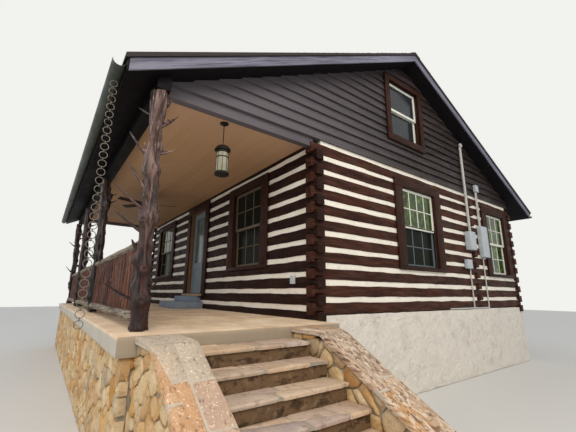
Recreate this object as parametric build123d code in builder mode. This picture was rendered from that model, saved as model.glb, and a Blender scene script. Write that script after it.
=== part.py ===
from build123d import *
import math
import os

os.makedirs("parts", exist_ok=True)

# Log cabin with a full-length porch on a stone base. Millimetres, +Z up.
# The origin is where the centrelines of the porch wall (along X) and of the near gable
# wall (along Y) cross, at the level that the steps and the stone base stand on.
# The porch lies on the -Y side and the steps climb it from the +X end.

# Porch height and steps
tread_rise = 136
top_rise = 110
tread_count = 8
tread_going = 240
top_tread_depth = 325
tread_thickness = 40
tread_nose = 30
step_width = 1200
cheek_width = 330
landing_length = 455
cap_thickness = 60
cap_lap = 20
cheek_end_run = 250
step_wall_gap = 420
slab_top = top_rise + tread_count * tread_rise

# Log walls
log_height = 165
chink_height = 65
log_width = 140
chink_width = 112
corner_overrun = 60
notch_clearance = 1
long_log_count = 12
gable_log_count = 11
house_length = 8310
house_depth = 6660
cross_wall_y = 4560
slab_lap = 57
course = log_height + chink_height
half_log = log_width / 2
sill = slab_top - slab_lap
gable_sill = sill + course / 2
notch_depth = log_height - course / 2
long_wall_top = sill + (long_log_count - 1) * course + log_height
gable_logs_top = gable_sill + (gable_log_count - 1) * course + log_height
gable_wall_top = gable_logs_top + chink_height

# Foundations
foundation_width = 200
stone_wall_width = 400
stone_wall_inset = 40
stone_joint = 1

# Porch slab and deck
slab_thickness = 160
slab_front_y = -2490
slab_end_reach = 465
door_block_height = 145
door_block_tread = 300
door_block_width = 900
door_block_side = 150

# Roof, six in twelve
pitch = 0.5
eave_y = -2640
eave_under = slab_top + 2380
ridge_y = 2395
roof_depth = 136
shingle_depth = 50
shingle_lap = 20
rake_overhang = 300
rake_thickness = 25
fascia_thickness = 20
ridge_cap_width = 150
ridge_cap_thickness = 12

# Porch timber
beam_width = 140
beam_under = slab_top + 2390
post_y = -2275
corner_post_x = 157
second_post_x = -3180
third_post_x = -5930
post_radius = 90
post_sides = 10
limb_sides = 6
limb_taper = 0.45
header_width = 100
header_depth = 138
ceiling_under = slab_top + 2530
ceiling_thickness = 20
siding_proud = 20

# Railings
top_rail_height = 800
bottom_rail_height = 115
rail_radius = 45
bottom_rail_radius = 55
rail_sides = 8
rail_seat = 70
picket_width = 150
picket_thickness = 35
picket_pitch = 165

# Floors
floor_top = slab_top + 285
floor_thickness = 60

# Windows and door, centres along their own walls
jamb_thickness = 30
casing_thickness = 28
casing_side = 225
casing_head = 150
casing_sill = 70
loft_casing = 130
loft_casing_head = 95
board_joint = 1
window_sill = slab_top + 815
window_height = 1440
porch_window_x = -1870
porch_window_width = 1020
far_window_x = -6890
far_window_width = 1200
gable_window_y = 2555
gable_window_width = 1050
pen_window_y = 5855
pen_window_width = 950
rear_window_xs = (-1870, -4330, -6890)
loft_window_y = 2300
loft_window_width = 940
loft_window_sill = slab_top + 3250
loft_window_height = 1150
sash_thickness = 35
sash_stile = 48
sash_gap = 3
glass_thickness = 4
door_x = -4330
door_width = 940
door_height = 1990
door_thickness = 45
door_stile = 115
door_recess = 10
door_foot_rail = 210
door_lock_rail = 600
door_lock_height = 120
door_gap = 6
threshold_height = 35
sill_nose = 70
sill_side = 90
sill_thickness = 50
door_casing = 210
hinge_radius = 7
hinge_play = 0.3
hinge_inset = 6
hinge_height = 90
hinge_shares = (0.1, 0.5, 0.9)
hinge_flap = 28
hinge_plate = 3
knob_radius = 27
knob_neck = 10
knob_back = 30
knob_reach = 58
turned_sides = 12
knob_setback = 65
knob_height = 950
rose_radius = 32
rose_thickness = 8

# Gutters and rain chain
gutter_radius = 62
gutter_wall = 3
gutter_lift = 10
gutter_sides = 20
chain_x = 140
chain_outlet_radius = 20
chain_outlet_length = 30
chain_ring = 31
chain_ring_wire = 5
chain_loop = 11
chain_loop_wire = 4
chain_ring_sides = 8
chain_loop_sides = 6
chain_ring_count = 28
chain_play = 0.3

# Porch lights and fan
lantern_x = -260
porch_fitting_y = -1360
lantern_top = slab_top + 2220
lantern_bottom = slab_top + 1800
lantern_radius = 105
lantern_cap_height = 70
lantern_rim = 22
lantern_base_height = 36
lantern_base_radius = 96
lantern_glass_radius = 76
lantern_bar = 7
lantern_bar_count = 6
lantern_bar_place = 84
lantern_band_height = 12
lantern_band_drop = 45
canopy_radius = 65
canopy_height = 35
rod_radius = 7
fan_radius = 640
fan_hub_radius = 75
fan_motor_radius = 105
fan_motor_height = 130
fan_blade_width = 130
fan_blade_count = 5
fan_blade_thickness = 8
fan_blade_tilt = 12
fan_hub_height = 50
fan_drop = 120
fan_gap = 0.3

# Electrical fittings on the near gable wall
mast_radius = 28
mast_y = 4390
mast_top = slab_top + 3770
meter_box = (4230, 4480, slab_top + 1280, slab_top + 1675, 120)
panel_box = (4845, 5150, slab_top + 1165, slab_top + 1870, 95)
drop_box = (4090, 4300, slab_top + 875, slab_top + 1065, 70)
upper_box = (4870, 5020, slab_top + 2700, slab_top + 2860, 60)
conduit_radius = 14
conduit_play = 0.3
mast_hood_radius = 45
mast_hood_height = 90
panel_riser_ys = (4915, 4965)
panel_drop_y = 4945
meter_drop_y = 4280
sill_run_end_y = 3320
outlet_box = (-450, -370, slab_top + 470, slab_top + 590, 45)

porch_wall = ("x", 0, -1)
rear_wall = ("x", house_depth, 1)
near_wall = ("y", 0, 1)
far_wall = ("y", -house_length, -1)


def block(x_low, x_high, y_low, y_high, z_low, z_high, mode=Mode.ADD):
    centre = ((x_low + x_high) / 2, (y_low + y_high) / 2, (z_low + z_high) / 2)
    with Locations(centre):
        Box(x_high - x_low, y_high - y_low, z_high - z_low, mode=mode)


def wall_block(wall, s_low, s_high, out_low, out_high, z_low, z_high, mode=Mode.ADD):
    """Add a block placed by its run along a wall and its distance out from the centreline."""
    runs, centre, outward = wall
    d_low, d_high = sorted((centre + outward * out_low, centre + outward * out_high))
    if runs == "x":
        block(s_low, s_high, d_low, d_high, z_low, z_high, mode)
    else:
        block(d_low, d_high, s_low, s_high, z_low, z_high, mode)


def prism(points, x_low, x_high):
    """Extrude a closed outline of (y, z) points along X."""
    with BuildSketch(Plane.YZ.offset(x_low)) as outline:
        with BuildLine():
            Polyline(*points, close=True)
        make_face()
    extrude(outline.sketch, amount=x_high - x_low)


def banded(sketches):
    """Loft each sketch to the next with flat faces."""
    for lower, upper in zip(sketches, sketches[1:]):
        loft([lower, upper], ruled=True)


def turned(base, rings, sides):
    """Build a many-sided piece along a plane's normal, through (distance, radius) rings."""
    sketches = []
    for distance, radius in rings:
        with BuildSketch(base.offset(distance)) as ring:
            RegularPolygon(radius, sides)
        sketches.append(ring.sketch)
    banded(sketches)


def roof_under(y):
    run = y - eave_y if y <= ridge_y else 2 * ridge_y - eave_y - y
    return eave_under + pitch * run


def save(part, name):
    part.label = name
    export_step(part, f"parts/{name}.step")


# Every opening: wall, centre, width, sill height, height
log_windows = [
    (porch_wall, porch_window_x, porch_window_width),
    (porch_wall, far_window_x, far_window_width),
    (near_wall, gable_window_y, gable_window_width),
    (near_wall, pen_window_y, pen_window_width),
    (far_wall, gable_window_y, gable_window_width),
    (far_wall, pen_window_y, pen_window_width),
] + [(rear_wall, x, porch_window_width) for x in rear_window_xs]
windows = [(wall, s, width, window_sill, window_height) for wall, s, width in log_windows]
loft_windows = [
    (wall, loft_window_y, loft_window_width, loft_window_sill, loft_window_height)
    for wall in (near_wall, far_wall)
]
doorway = (porch_wall, door_x, door_width, floor_top, door_height + threshold_height)


def cut_openings(wall, openings, depth):
    for opening_wall, s, width, z_low, height in openings:
        if opening_wall == wall:
            wall_block(
                wall,
                s - width / 2 - jamb_thickness,
                s + width / 2 + jamb_thickness,
                -depth,
                depth,
                z_low - jamb_thickness,
                z_low + height + jamb_thickness,
                Mode.SUBTRACT,
            )


# Foundations
with BuildPart() as foundation:
    block(
        -house_length - foundation_width / 2,
        foundation_width / 2,
        -foundation_width / 2,
        house_depth + foundation_width / 2,
        0,
        sill,
    )
    block(
        -house_length + foundation_width / 2,
        -foundation_width / 2,
        foundation_width / 2,
        house_depth - foundation_width / 2,
        0,
        sill,
        Mode.SUBTRACT,
    )
    for x in (0, -house_length):
        block(
            x - foundation_width / 2,
            x + foundation_width / 2,
            half_log,
            house_depth - half_log,
            sill,
            gable_sill,
        )
save(foundation.part, "foundation")

slab_near = half_log + slab_end_reach
slab_far = -house_length - half_log - slab_end_reach
slab_under = slab_top - slab_thickness
base_front = slab_front_y + stone_wall_inset
base_near = slab_near - stone_wall_inset
base_far = slab_far + stone_wall_inset
base_back = -foundation_width / 2

with BuildPart() as stone_base_front:
    block(base_far, base_near, base_front, base_front + stone_wall_width, 0, slab_under)
save(stone_base_front.part, "stone_base_front")

with BuildPart() as stone_base_ends:
    for x in (base_near - stone_wall_width, base_far):
        block(x, x + stone_wall_width, base_front + stone_wall_width, base_back, 0, slab_under)
save(stone_base_ends.part, "stone_base_ends")

with BuildPart() as porch_slab:
    block(slab_far, slab_near, slab_front_y, base_back, slab_under, slab_top)
    block(-house_length - half_log, half_log, base_back, -half_log, sill, slab_top)
save(porch_slab.part, "porch_slab")

# Stone steps between their cheek walls
steps_right = -half_log - step_wall_gap - cheek_width
steps_left = steps_right - step_width
first_nose = slab_near + top_tread_depth


def tread_nose_x(n):
    return first_nose + n * tread_going


def tread_top(n):
    return slab_top - top_rise - n * tread_rise


with BuildPart() as step_core:
    for n in range(tread_count):
        back = base_near if n == 0 else tread_nose_x(n - 1) - tread_nose
        block(
            back,
            tread_nose_x(n) - tread_nose,
            steps_left,
            steps_right,
            0,
            tread_top(n) - tread_thickness,
        )
    block(base_near, slab_near, steps_left, steps_right, slab_under, slab_top, Mode.SUBTRACT)
save(step_core.part, "step_core")

with BuildPart() as step_treads:
    for n in range(tread_count):
        back = slab_near if n == 0 else tread_nose_x(n - 1) - tread_nose
        block(
            back,
            tread_nose_x(n),
            steps_left,
            steps_right,
            tread_top(n) - tread_thickness,
            tread_top(n),
        )
save(step_treads.part, "step_treads")

cheek_start = slab_near + landing_length
cheek_end = tread_nose_x(tread_count - 1) + cheek_end_run
cheek_slope = tread_rise / tread_going
cheek_drop = (cheek_end - cheek_start) * cheek_slope
cheek_top = slab_top - cap_thickness
cheek_lefts = (steps_left - cheek_width, steps_right)

with BuildPart() as cheek_walls:
    for y in cheek_lefts:
        with BuildSketch(Plane.XZ.offset(-y - cheek_width)):
            with BuildLine():
                Polyline(
                    (base_near, 0),
                    (cheek_end, 0),
                    (cheek_end, cheek_top - cheek_drop),
                    (cheek_start, cheek_top),
                    (base_near, cheek_top),
                    close=True,
                )
            make_face()
        extrude(amount=cheek_width)
    for y in cheek_lefts:
        block(base_near, slab_near, y, y + cheek_width, slab_under, slab_top, Mode.SUBTRACT)
save(cheek_walls.part, "cheek_walls")

with BuildPart() as cheek_caps:
    for y in cheek_lefts:
        block(
            slab_near,
            cheek_start,
            y - cap_lap,
            y + cheek_width,
            cheek_top,
            slab_top,
        )
        with BuildSketch(Plane.XZ.offset(-y - cheek_width)):
            with BuildLine():
                Polyline(
                    (cheek_start + stone_joint, cheek_top - stone_joint * cheek_slope),
                    (cheek_end, cheek_top - cheek_drop),
                    (cheek_end, slab_top - cheek_drop),
                    (cheek_start + stone_joint, slab_top - stone_joint * cheek_slope),
                    close=True,
                )
            make_face()
        extrude(amount=cheek_width + cap_lap)
save(cheek_caps.part, "cheek_caps")

with BuildPart() as door_step_lower:
    block(
        door_x - door_block_width / 2 - door_block_side,
        door_x + door_block_width / 2 + door_block_side,
        -half_log - 2 * door_block_tread,
        -half_log,
        slab_top,
        slab_top + door_block_height,
    )
save(door_step_lower.part, "door_step_lower")

with BuildPart() as door_step_upper:
    block(
        door_x - door_block_width / 2,
        door_x + door_block_width / 2,
        -half_log - door_block_tread,
        -half_log,
        slab_top + door_block_height,
        slab_top + 2 * door_block_height - jamb_thickness,
    )
save(door_step_upper.part, "door_step_upper")


# Log walls, saddle notched over the logs that cross under them
def notch_ends(wall, levels, crossings):
    for z in levels:
        for s in crossings:
            wall_block(
                wall,
                s - half_log - notch_clearance,
                s + half_log + notch_clearance,
                -log_width,
                log_width,
                z,
                z + notch_depth,
                Mode.SUBTRACT,
            )


def long_wall_logs(wall, openings):
    levels = [sill + i * course for i in range(long_log_count)]
    reach = half_log + corner_overrun
    for z in levels[:-1]:
        wall_block(wall, -house_length - reach, reach, -half_log, half_log, z, z + log_height)
    wall_block(
        wall,
        -house_length + half_log,
        -half_log,
        -half_log,
        half_log,
        levels[-1],
        long_wall_top,
    )
    notch_ends(wall, levels[1:-1], (0, -house_length))
    cut_openings(wall, openings, log_width)


def gable_wall_logs(wall, openings):
    levels = [gable_sill + i * course for i in range(gable_log_count)]
    reach = half_log + corner_overrun
    for z in levels:
        wall_block(wall, -reach, house_depth + reach, -half_log, half_log, z, z + log_height)
    notch_ends(wall, levels, (0, house_depth, cross_wall_y))
    cut_openings(wall, openings, log_width)


with BuildPart() as porch_wall_logs:
    long_wall_logs(porch_wall, windows + [doorway])
save(porch_wall_logs.part, "porch_wall_logs")

with BuildPart() as rear_wall_logs:
    long_wall_logs(rear_wall, windows)
save(rear_wall_logs.part, "rear_wall_logs")

with BuildPart() as near_gable_logs:
    gable_wall_logs(near_wall, windows)
save(near_gable_logs.part, "near_gable_logs")

with BuildPart() as far_gable_logs:
    gable_wall_logs(far_wall, windows)
save(far_gable_logs.part, "far_gable_logs")

# Ends of the cross wall's logs, notched through both gable walls
with BuildPart() as cross_log_ends:
    for wall in (near_wall, far_wall):
        for i in range(1, long_log_count - 1):
            z = sill + i * course
            wall_block(
                wall,
                cross_wall_y - half_log,
                cross_wall_y + half_log,
                -half_log,
                half_log + corner_overrun,
                z + notch_depth,
                z + log_height,
            )
save(cross_log_ends.part, "cross_log_ends")

with BuildPart() as chinking:
    for wall in (porch_wall, rear_wall):
        for i in range(long_log_count - 1):
            z = sill + i * course + log_height
            wall_block(
                wall,
                -house_length + half_log,
                -half_log,
                -chink_width / 2,
                chink_width / 2,
                z,
                z + chink_height,
            )
        openings = windows + [doorway]
        cut_openings(wall, openings, log_width)
    for wall in (near_wall, far_wall):
        for i in range(gable_log_count):
            z = gable_sill + i * course + log_height
            for s_low, s_high in (
                (half_log, cross_wall_y - half_log),
                (cross_wall_y + half_log, house_depth - half_log),
            ):
                wall_block(
                    wall, s_low, s_high, -chink_width / 2, chink_width / 2, z, z + chink_height
                )
        cut_openings(wall, windows, log_width)
save(chinking.part, "chinking")

# Floors
with BuildPart() as floor_deck:
    block(
        -house_length + half_log,
        -half_log,
        half_log,
        house_depth - half_log,
        floor_top - floor_thickness,
        floor_top,
    )
save(floor_deck.part, "floor_deck")

with BuildPart() as loft_deck:
    block(
        -house_length + half_log,
        -half_log,
        -half_log,
        house_depth - half_log,
        long_wall_top,
        long_wall_top + floor_thickness,
    )
save(loft_deck.part, "loft_deck")

# Gable siding above the logs, with the loft windows
beam_inner = post_y + beam_width / 2
beam_outer = post_y - beam_width / 2
rear_face = house_depth + half_log
siding_outline = [
    (beam_inner, gable_wall_top),
    (rear_face, gable_wall_top),
    (rear_face, roof_under(rear_face)),
    (ridge_y, roof_under(ridge_y)),
    (beam_inner, roof_under(beam_inner)),
]

with BuildPart() as near_siding:
    prism(siding_outline, -half_log + siding_proud, half_log + siding_proud)
    cut_openings(near_wall, loft_windows, log_width)
save(near_siding.part, "near_siding")

with BuildPart() as far_siding:
    prism(
        siding_outline,
        -house_length - half_log - siding_proud,
        -house_length + half_log - siding_proud,
    )
    cut_openings(far_wall, loft_windows, log_width)
save(far_siding.part, "far_siding")

# Roof slopes
roof_near = half_log + rake_overhang - rake_thickness
roof_far = -house_length - roof_near
rear_eave_y = 2 * ridge_y - eave_y


def slope_outline(y_eave, lift, depth, lap=0):
    """Outline of one slope's layer, from its eave to the ridge."""
    side = -1 if y_eave < ridge_y else 1
    y_end = y_eave + side * lap
    z_end = roof_under(y_eave) - pitch * lap + lift
    return [
        (y_end, z_end),
        (ridge_y, roof_under(ridge_y) + lift),
        (ridge_y, roof_under(ridge_y) + lift + depth),
        (y_end, z_end + depth),
    ]


with BuildPart() as front_roof:
    prism(slope_outline(eave_y, 0, roof_depth), roof_far, roof_near)
save(front_roof.part, "front_roof")

with BuildPart() as rear_roof:
    prism(slope_outline(rear_eave_y, 0, roof_depth), roof_far, roof_near)
save(rear_roof.part, "rear_roof")

shingle_reach = rake_thickness + shingle_lap
eave_lap = fascia_thickness + shingle_lap

with BuildPart() as front_shingles:
    prism(
        slope_outline(eave_y, roof_depth, shingle_depth, eave_lap),
        roof_far - shingle_reach,
        roof_near + shingle_reach,
    )
save(front_shingles.part, "front_shingles")

with BuildPart() as rear_shingles:
    prism(
        slope_outline(rear_eave_y, roof_depth, shingle_depth, eave_lap),
        roof_far - shingle_reach,
        roof_near + shingle_reach,
    )
save(rear_shingles.part, "rear_shingles")

with BuildPart() as front_rake_boards:
    for x in (roof_near, roof_far - rake_thickness):
        prism(slope_outline(eave_y, 0, roof_depth), x, x + rake_thickness)
save(front_rake_boards.part, "front_rake_boards")

with BuildPart() as rear_rake_boards:
    for x in (roof_near, roof_far - rake_thickness):
        prism(slope_outline(rear_eave_y, 0, roof_depth), x, x + rake_thickness)
save(rear_rake_boards.part, "rear_rake_boards")

with BuildPart() as fascia_boards:
    for y in (eave_y - fascia_thickness, rear_eave_y):
        block(
            roof_far - rake_thickness,
            roof_near + rake_thickness,
            y,
            y + fascia_thickness,
            eave_under,
            eave_under + roof_depth - pitch * fascia_thickness,
        )
save(fascia_boards.part, "fascia_boards")

with BuildPart() as ridge_cap:
    top = roof_under(ridge_y) + roof_depth + shingle_depth
    drop = pitch * ridge_cap_width
    prism(
        [
            (ridge_y - ridge_cap_width, top - drop),
            (ridge_y, top),
            (ridge_y + ridge_cap_width, top - drop),
            (ridge_y + ridge_cap_width, top - drop + ridge_cap_thickness),
            (ridge_y, top + ridge_cap_thickness),
            (ridge_y - ridge_cap_width, top - drop + ridge_cap_thickness),
        ],
        roof_far - shingle_reach,
        roof_near + shingle_reach,
    )
save(ridge_cap.part, "ridge_cap")

# Plate that carries the rear slope on the rear wall's top log
with BuildPart() as rear_plate:
    inner = house_depth - half_log
    prism(
        [
            (inner, long_wall_top + floor_thickness),
            (inner, long_wall_top),
            (rear_face, long_wall_top),
            (rear_face, roof_under(rear_face)),
            (inner, roof_under(inner)),
        ],
        -house_length + half_log,
        -half_log,
    )
save(rear_plate.part, "rear_plate")

# Porch beam, end headers and ceiling
far_post_x = -house_length - corner_post_x
beam_near = corner_post_x + post_radius
beam_far = far_post_x - post_radius

with BuildPart() as porch_beam:
    prism(
        [
            (beam_outer, beam_under),
            (beam_inner, beam_under),
            (beam_inner, roof_under(beam_inner)),
            (beam_outer, roof_under(beam_outer)),
        ],
        beam_far,
        beam_near,
    )
save(porch_beam.part, "porch_beam")

with BuildPart() as end_headers:
    for x in (0, -house_length):
        block(
            x - header_width / 2,
            x + header_width / 2,
            beam_inner,
            -half_log,
            gable_wall_top - header_depth,
            gable_wall_top,
        )
    for x in (0, -house_length):
        block(
            x - log_width,
            x + log_width,
            -half_log - corner_overrun - notch_clearance,
            -half_log,
            gable_wall_top - header_depth,
            gable_logs_top,
            Mode.SUBTRACT,
        )
save(end_headers.part, "end_headers")

with BuildPart() as porch_ceiling:
    block(
        -house_length + header_width / 2,
        -header_width / 2,
        beam_inner,
        -half_log,
        ceiling_under,
        ceiling_under + ceiling_thickness,
    )
save(porch_ceiling.part, "porch_ceiling")


# Tree-trunk posts with the snags of their branches
def limb(x, y, z, azimuth, rise, length, radius):
    turn, lift = math.radians(azimuth), math.radians(rise)
    way = (math.cos(turn) * math.cos(lift), math.sin(turn) * math.cos(lift), math.sin(lift))
    turned(Plane(origin=(x, y, z), z_dir=way), [(0, radius), (length, radius * limb_taper)], limb_sides)


def trunk(x, y, sections, limbs):
    height = beam_under - slab_top
    rings = []
    for share, swell, shift_x, shift_y in sections:
        with BuildSketch(Plane.XY.offset(slab_top + share * height)) as ring:
            with Locations((x + shift_x, y + shift_y)):
                RegularPolygon(post_radius * swell, post_sides, rotation=share * 20)
        rings.append(ring.sketch)
    banded(rings)
    for share, azimuth, rise, length, radius in limbs:
        limb(x, y, slab_top + share * height, azimuth, rise, length, radius)


# Each section: height share, radius share, shift in X and Y
corner_sections = [
    (0, 1.1, 0, 10),
    (0.1, 0.92, 5, 8),
    (0.25, 0.86, 0, 0),
    (0.45, 0.84, -8, -6),
    (0.62, 0.92, 4, -14),
    (0.8, 0.88, 0, -18),
    (1, 1, 0, -30),
]
plain_sections = [(0, 1.05, 0, 15), (0.3, 0.95, 12, 5), (0.7, 0.9, -12, -18), (1, 1, 0, -32)]

# Each limb: height share, azimuth, rise, length from the trunk's axis, radius
corner_limbs = [
    (0.1, -103, 30, 345, 14),
    (0.13, 77, 41, 180, 14),
    (0.25, -103, 61, 250, 24),
    (0.36, -103, 37, 380, 12),
    (0.45, -103, 39, 420, 13),
    (0.53, -115, 53, 410, 15),
    (0.62, -140, 68, 390, 16),
    (0.66, -103, 51, 405, 13),
    (0.71, 77, 23, 190, 14),
    (0.83, 77, 44, 260, 14),
    (0.88, -120, 26, 240, 12),
    (0.9, 60, 58, 215, 16),
]
plain_limbs = [
    (0.2, 80, 40, 250, 12),
    (0.35, -100, 48, 330, 13),
    (0.5, 175, 40, 260, 15),
    (0.68, -115, 38, 330, 16),
    (0.8, 80, 25, 190, 14),
    (0.86, 70, 15, 170, 12),
]

with BuildPart() as corner_post:
    trunk(corner_post_x, post_y, corner_sections, corner_limbs)
save(corner_post.part, "corner_post")

with BuildPart() as second_post:
    trunk(second_post_x, post_y, plain_sections, plain_limbs)
save(second_post.part, "second_post")

with BuildPart() as third_post:
    trunk(third_post_x, post_y, plain_sections, plain_limbs)
save(third_post.part, "third_post")

with BuildPart() as far_post:
    trunk(far_post_x, post_y, plain_sections, plain_limbs)
save(far_post.part, "far_post")


# Railings: two round rails with slab pickets nailed between them
def railing(start, end):
    """A panel of two rails and slab pickets between two (x, y) points."""
    dx, dy = end[0] - start[0], end[1] - start[1]
    length = math.hypot(dx, dy)
    for height, radius in ((top_rail_height, rail_radius), (bottom_rail_height, bottom_rail_radius)):
        base = Plane(origin=(start[0], start[1], slab_top + height), x_dir=(0, 0, 1), z_dir=(dx, dy, 0))
        turned(base, [(0, radius), (length, radius)], rail_sides)
    count = int(length / picket_pitch)
    middle = ((start[0] + end[0]) / 2, (start[1] + end[1]) / 2)
    low, high = slab_top + bottom_rail_height, slab_top + top_rail_height
    turn = math.degrees(math.atan2(dy, dx))
    with Locations(Location((middle[0], middle[1], (low + high) / 2), (0, 0, turn))):
        with GridLocations(picket_pitch, 0, count, 1):
            Box(picket_width, picket_thickness, high - low)


post_xs = [corner_post_x, second_post_x, third_post_x, far_post_x]
posts = [corner_post.part, second_post.part, third_post.part, far_post.part]

for i, name in enumerate(("near_railing", "middle_railing", "far_railing")):
    with BuildPart() as panel:
        railing((post_xs[i + 1] + rail_seat, post_y), (post_xs[i] - rail_seat, post_y))
        add([posts[i], posts[i + 1]], mode=Mode.SUBTRACT)
    save(panel.part, name)

with BuildPart() as end_railing:
    railing((far_post_x, post_y + rail_seat), (far_post_x, base_back))
    add(far_post.part, mode=Mode.SUBTRACT)
save(end_railing.part, "end_railing")


# Window frames, casings, sashes and glass
def frame_boards(opening):
    wall, s, width, z_low, height = opening
    left, right = s - width / 2, s + width / 2
    z_high = z_low + height
    for low, high in ((left - jamb_thickness, left), (right, right + jamb_thickness)):
        wall_block(wall, low, high, -half_log, half_log, z_low - jamb_thickness, z_high + jamb_thickness)
    for low, high in ((z_low - jamb_thickness, z_low), (z_high, z_high + jamb_thickness)):
        wall_block(wall, left + board_joint, right - board_joint, -half_log, half_log, low, high)


def casing_boards(opening, side, head, foot, face):
    wall, s, width, z_low, height = opening
    left, right = s - width / 2, s + width / 2
    top = z_low + height
    out = face + casing_thickness
    for low, high in ((left - side, left), (right, right + side)):
        wall_block(wall, low, high, face, out, z_low + board_joint, top - board_joint)
    wall_block(wall, left - side, right + side, face, out, top, top + head)
    if foot:
        wall_block(wall, left - side, right + side, face, out, z_low - foot, z_low)


def sash_ring(wall, left, right, out_low, z_low, z_high):
    wall_block(wall, left, right, out_low, out_low + sash_thickness, z_low, z_high)
    wall_block(
        wall,
        left + sash_stile,
        right - sash_stile,
        out_low,
        out_low + sash_thickness,
        z_low + sash_stile,
        z_high - sash_stile,
        Mode.SUBTRACT,
    )


def sash_places(opening):
    """Lower sash inside, upper sash outside, meeting at the middle."""
    wall, s, width, z_low, height = opening
    middle = z_low + height / 2
    lower = (-sash_thickness - sash_gap, z_low, middle + sash_stile / 2)
    upper = (0, middle - sash_stile / 2, z_low + height)
    return lower, upper


with BuildPart() as window_frames:
    for opening in windows + loft_windows:
        frame_boards(opening)
save(window_frames.part, "window_frames")

with BuildPart() as window_casings:
    for opening in windows:
        casing_boards(opening, casing_side, casing_head, casing_sill, half_log)
    for opening in loft_windows:
        casing_boards(opening, loft_casing, loft_casing_head, loft_casing, half_log + siding_proud)
save(window_casings.part, "window_casings")

with BuildPart() as window_sashes:
    for opening in windows + loft_windows:
        wall, s, width, z_low, height = opening
        for out_low, low, high in sash_places(opening):
            sash_ring(wall, s - width / 2, s + width / 2, out_low, low, high)
save(window_sashes.part, "window_sashes")

with BuildPart() as window_glass:
    for opening in windows + loft_windows:
        wall, s, width, z_low, height = opening
        for out_low, low, high in sash_places(opening):
            middle = out_low + sash_thickness / 2
            wall_block(
                wall,
                s - width / 2 + sash_stile,
                s + width / 2 - sash_stile,
                middle - glass_thickness / 2,
                middle + glass_thickness / 2,
                low + sash_stile,
                high - sash_stile,
            )
save(window_glass.part, "window_glass")

# Front door, hung on its inner edge and opening inwards
door_left, door_right = door_x - door_width / 2, door_x + door_width / 2
door_low = floor_top + threshold_height
door_high = door_low + door_height
door_out_low = -half_log

with BuildPart() as door_frame:
    for low, high in ((door_left - jamb_thickness, door_left), (door_right, door_right + jamb_thickness)):
        wall_block(
            porch_wall,
            low,
            high,
            -half_log,
            half_log,
            floor_top - jamb_thickness,
            door_high + jamb_thickness,
        )
    wall_block(
        porch_wall,
        door_left + board_joint,
        door_right - board_joint,
        -half_log,
        half_log,
        door_high,
        door_high + jamb_thickness,
    )
save(door_frame.part, "door_frame")

with BuildPart() as threshold:
    wall_block(
        porch_wall,
        door_left,
        door_right,
        -half_log,
        half_log,
        floor_top - jamb_thickness,
        door_low - door_gap,
    )
    sill_back = half_log + casing_thickness + board_joint
    sill_top = door_low - door_gap
    for left, right, out_low in (
        (door_left + board_joint, door_right - board_joint, half_log),
        (door_left - sill_side, door_right + sill_side, sill_back),
    ):
        sill_low = sill_top - sill_thickness
        wall_block(porch_wall, left, right, out_low, sill_back + sill_nose, sill_low, sill_top)
save(threshold.part, "threshold")

with BuildPart() as door_casing_boards:
    door_foot = floor_top - jamb_thickness
    door_opening = (porch_wall, door_x, door_width, door_foot, door_high - door_foot)
    casing_boards(door_opening, door_casing, casing_head, 0, half_log)
save(door_casing_boards.part, "door_casing")

with BuildPart() as door_leaf:
    wall_block(
        porch_wall,
        door_left + door_gap,
        door_right - door_gap,
        door_out_low,
        door_out_low + door_thickness,
        door_low,
        door_high - door_gap,
    )
    panels = (
        (door_low + door_foot_rail, door_low + door_lock_rail),
        (door_low + door_lock_rail + door_lock_height, door_high - door_gap - door_stile),
    )
    for z_low, z_high in panels:
        for out_low in (door_out_low, door_out_low + door_thickness - door_recess):
            wall_block(
                porch_wall,
                door_left + door_gap + door_stile,
                door_right - door_gap - door_stile,
                out_low,
                out_low + door_recess,
                z_low,
                z_high,
                Mode.SUBTRACT,
            )
save(door_leaf.part, "door_leaf")

# Hinges whose barrels stand inside the leaf's inner face
hinge_x = door_left + door_gap + hinge_inset
hinge_y = half_log + hinge_play + hinge_radius

with BuildPart() as door_hinges:
    for share in hinge_shares:
        z = door_low + share * door_height
        z_low, z_high = z - hinge_height / 2, z + hinge_height / 2
        barrel = Plane(origin=(hinge_x, hinge_y, z_low))
        turned(barrel, [(0, hinge_radius), (hinge_height, hinge_radius)], turned_sides)
        block(door_left - hinge_flap, door_left, half_log, half_log + hinge_plate, z_low, z_high)
        block(
            door_left - hinge_flap,
            hinge_x - hinge_radius + hinge_plate,
            half_log + hinge_plate - board_joint,
            half_log + 2 * hinge_plate - board_joint,
            z_low,
            z_high,
        )
save(door_hinges.part, "door_hinges")

with BuildPart() as door_hardware:
    knob_x = door_right - door_gap - knob_setback
    knob_z = door_low + knob_height
    for y, way in ((half_log, 1), (half_log - door_thickness, -1)):
        base = Plane(origin=(knob_x, y, knob_z), x_dir=(1, 0, 0), z_dir=(0, way, 0))
        turned(base, [(0, rose_radius), (rose_thickness, rose_radius)], turned_sides)
        knob_rings = [
            (0, knob_neck),
            (knob_back, knob_neck),
            (knob_back + rose_thickness, knob_radius),
            (knob_reach - rose_thickness, knob_radius),
            (knob_reach, knob_neck),
        ]
        turned(base, knob_rings, turned_sides)
save(door_hardware.part, "door_hardware")

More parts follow.
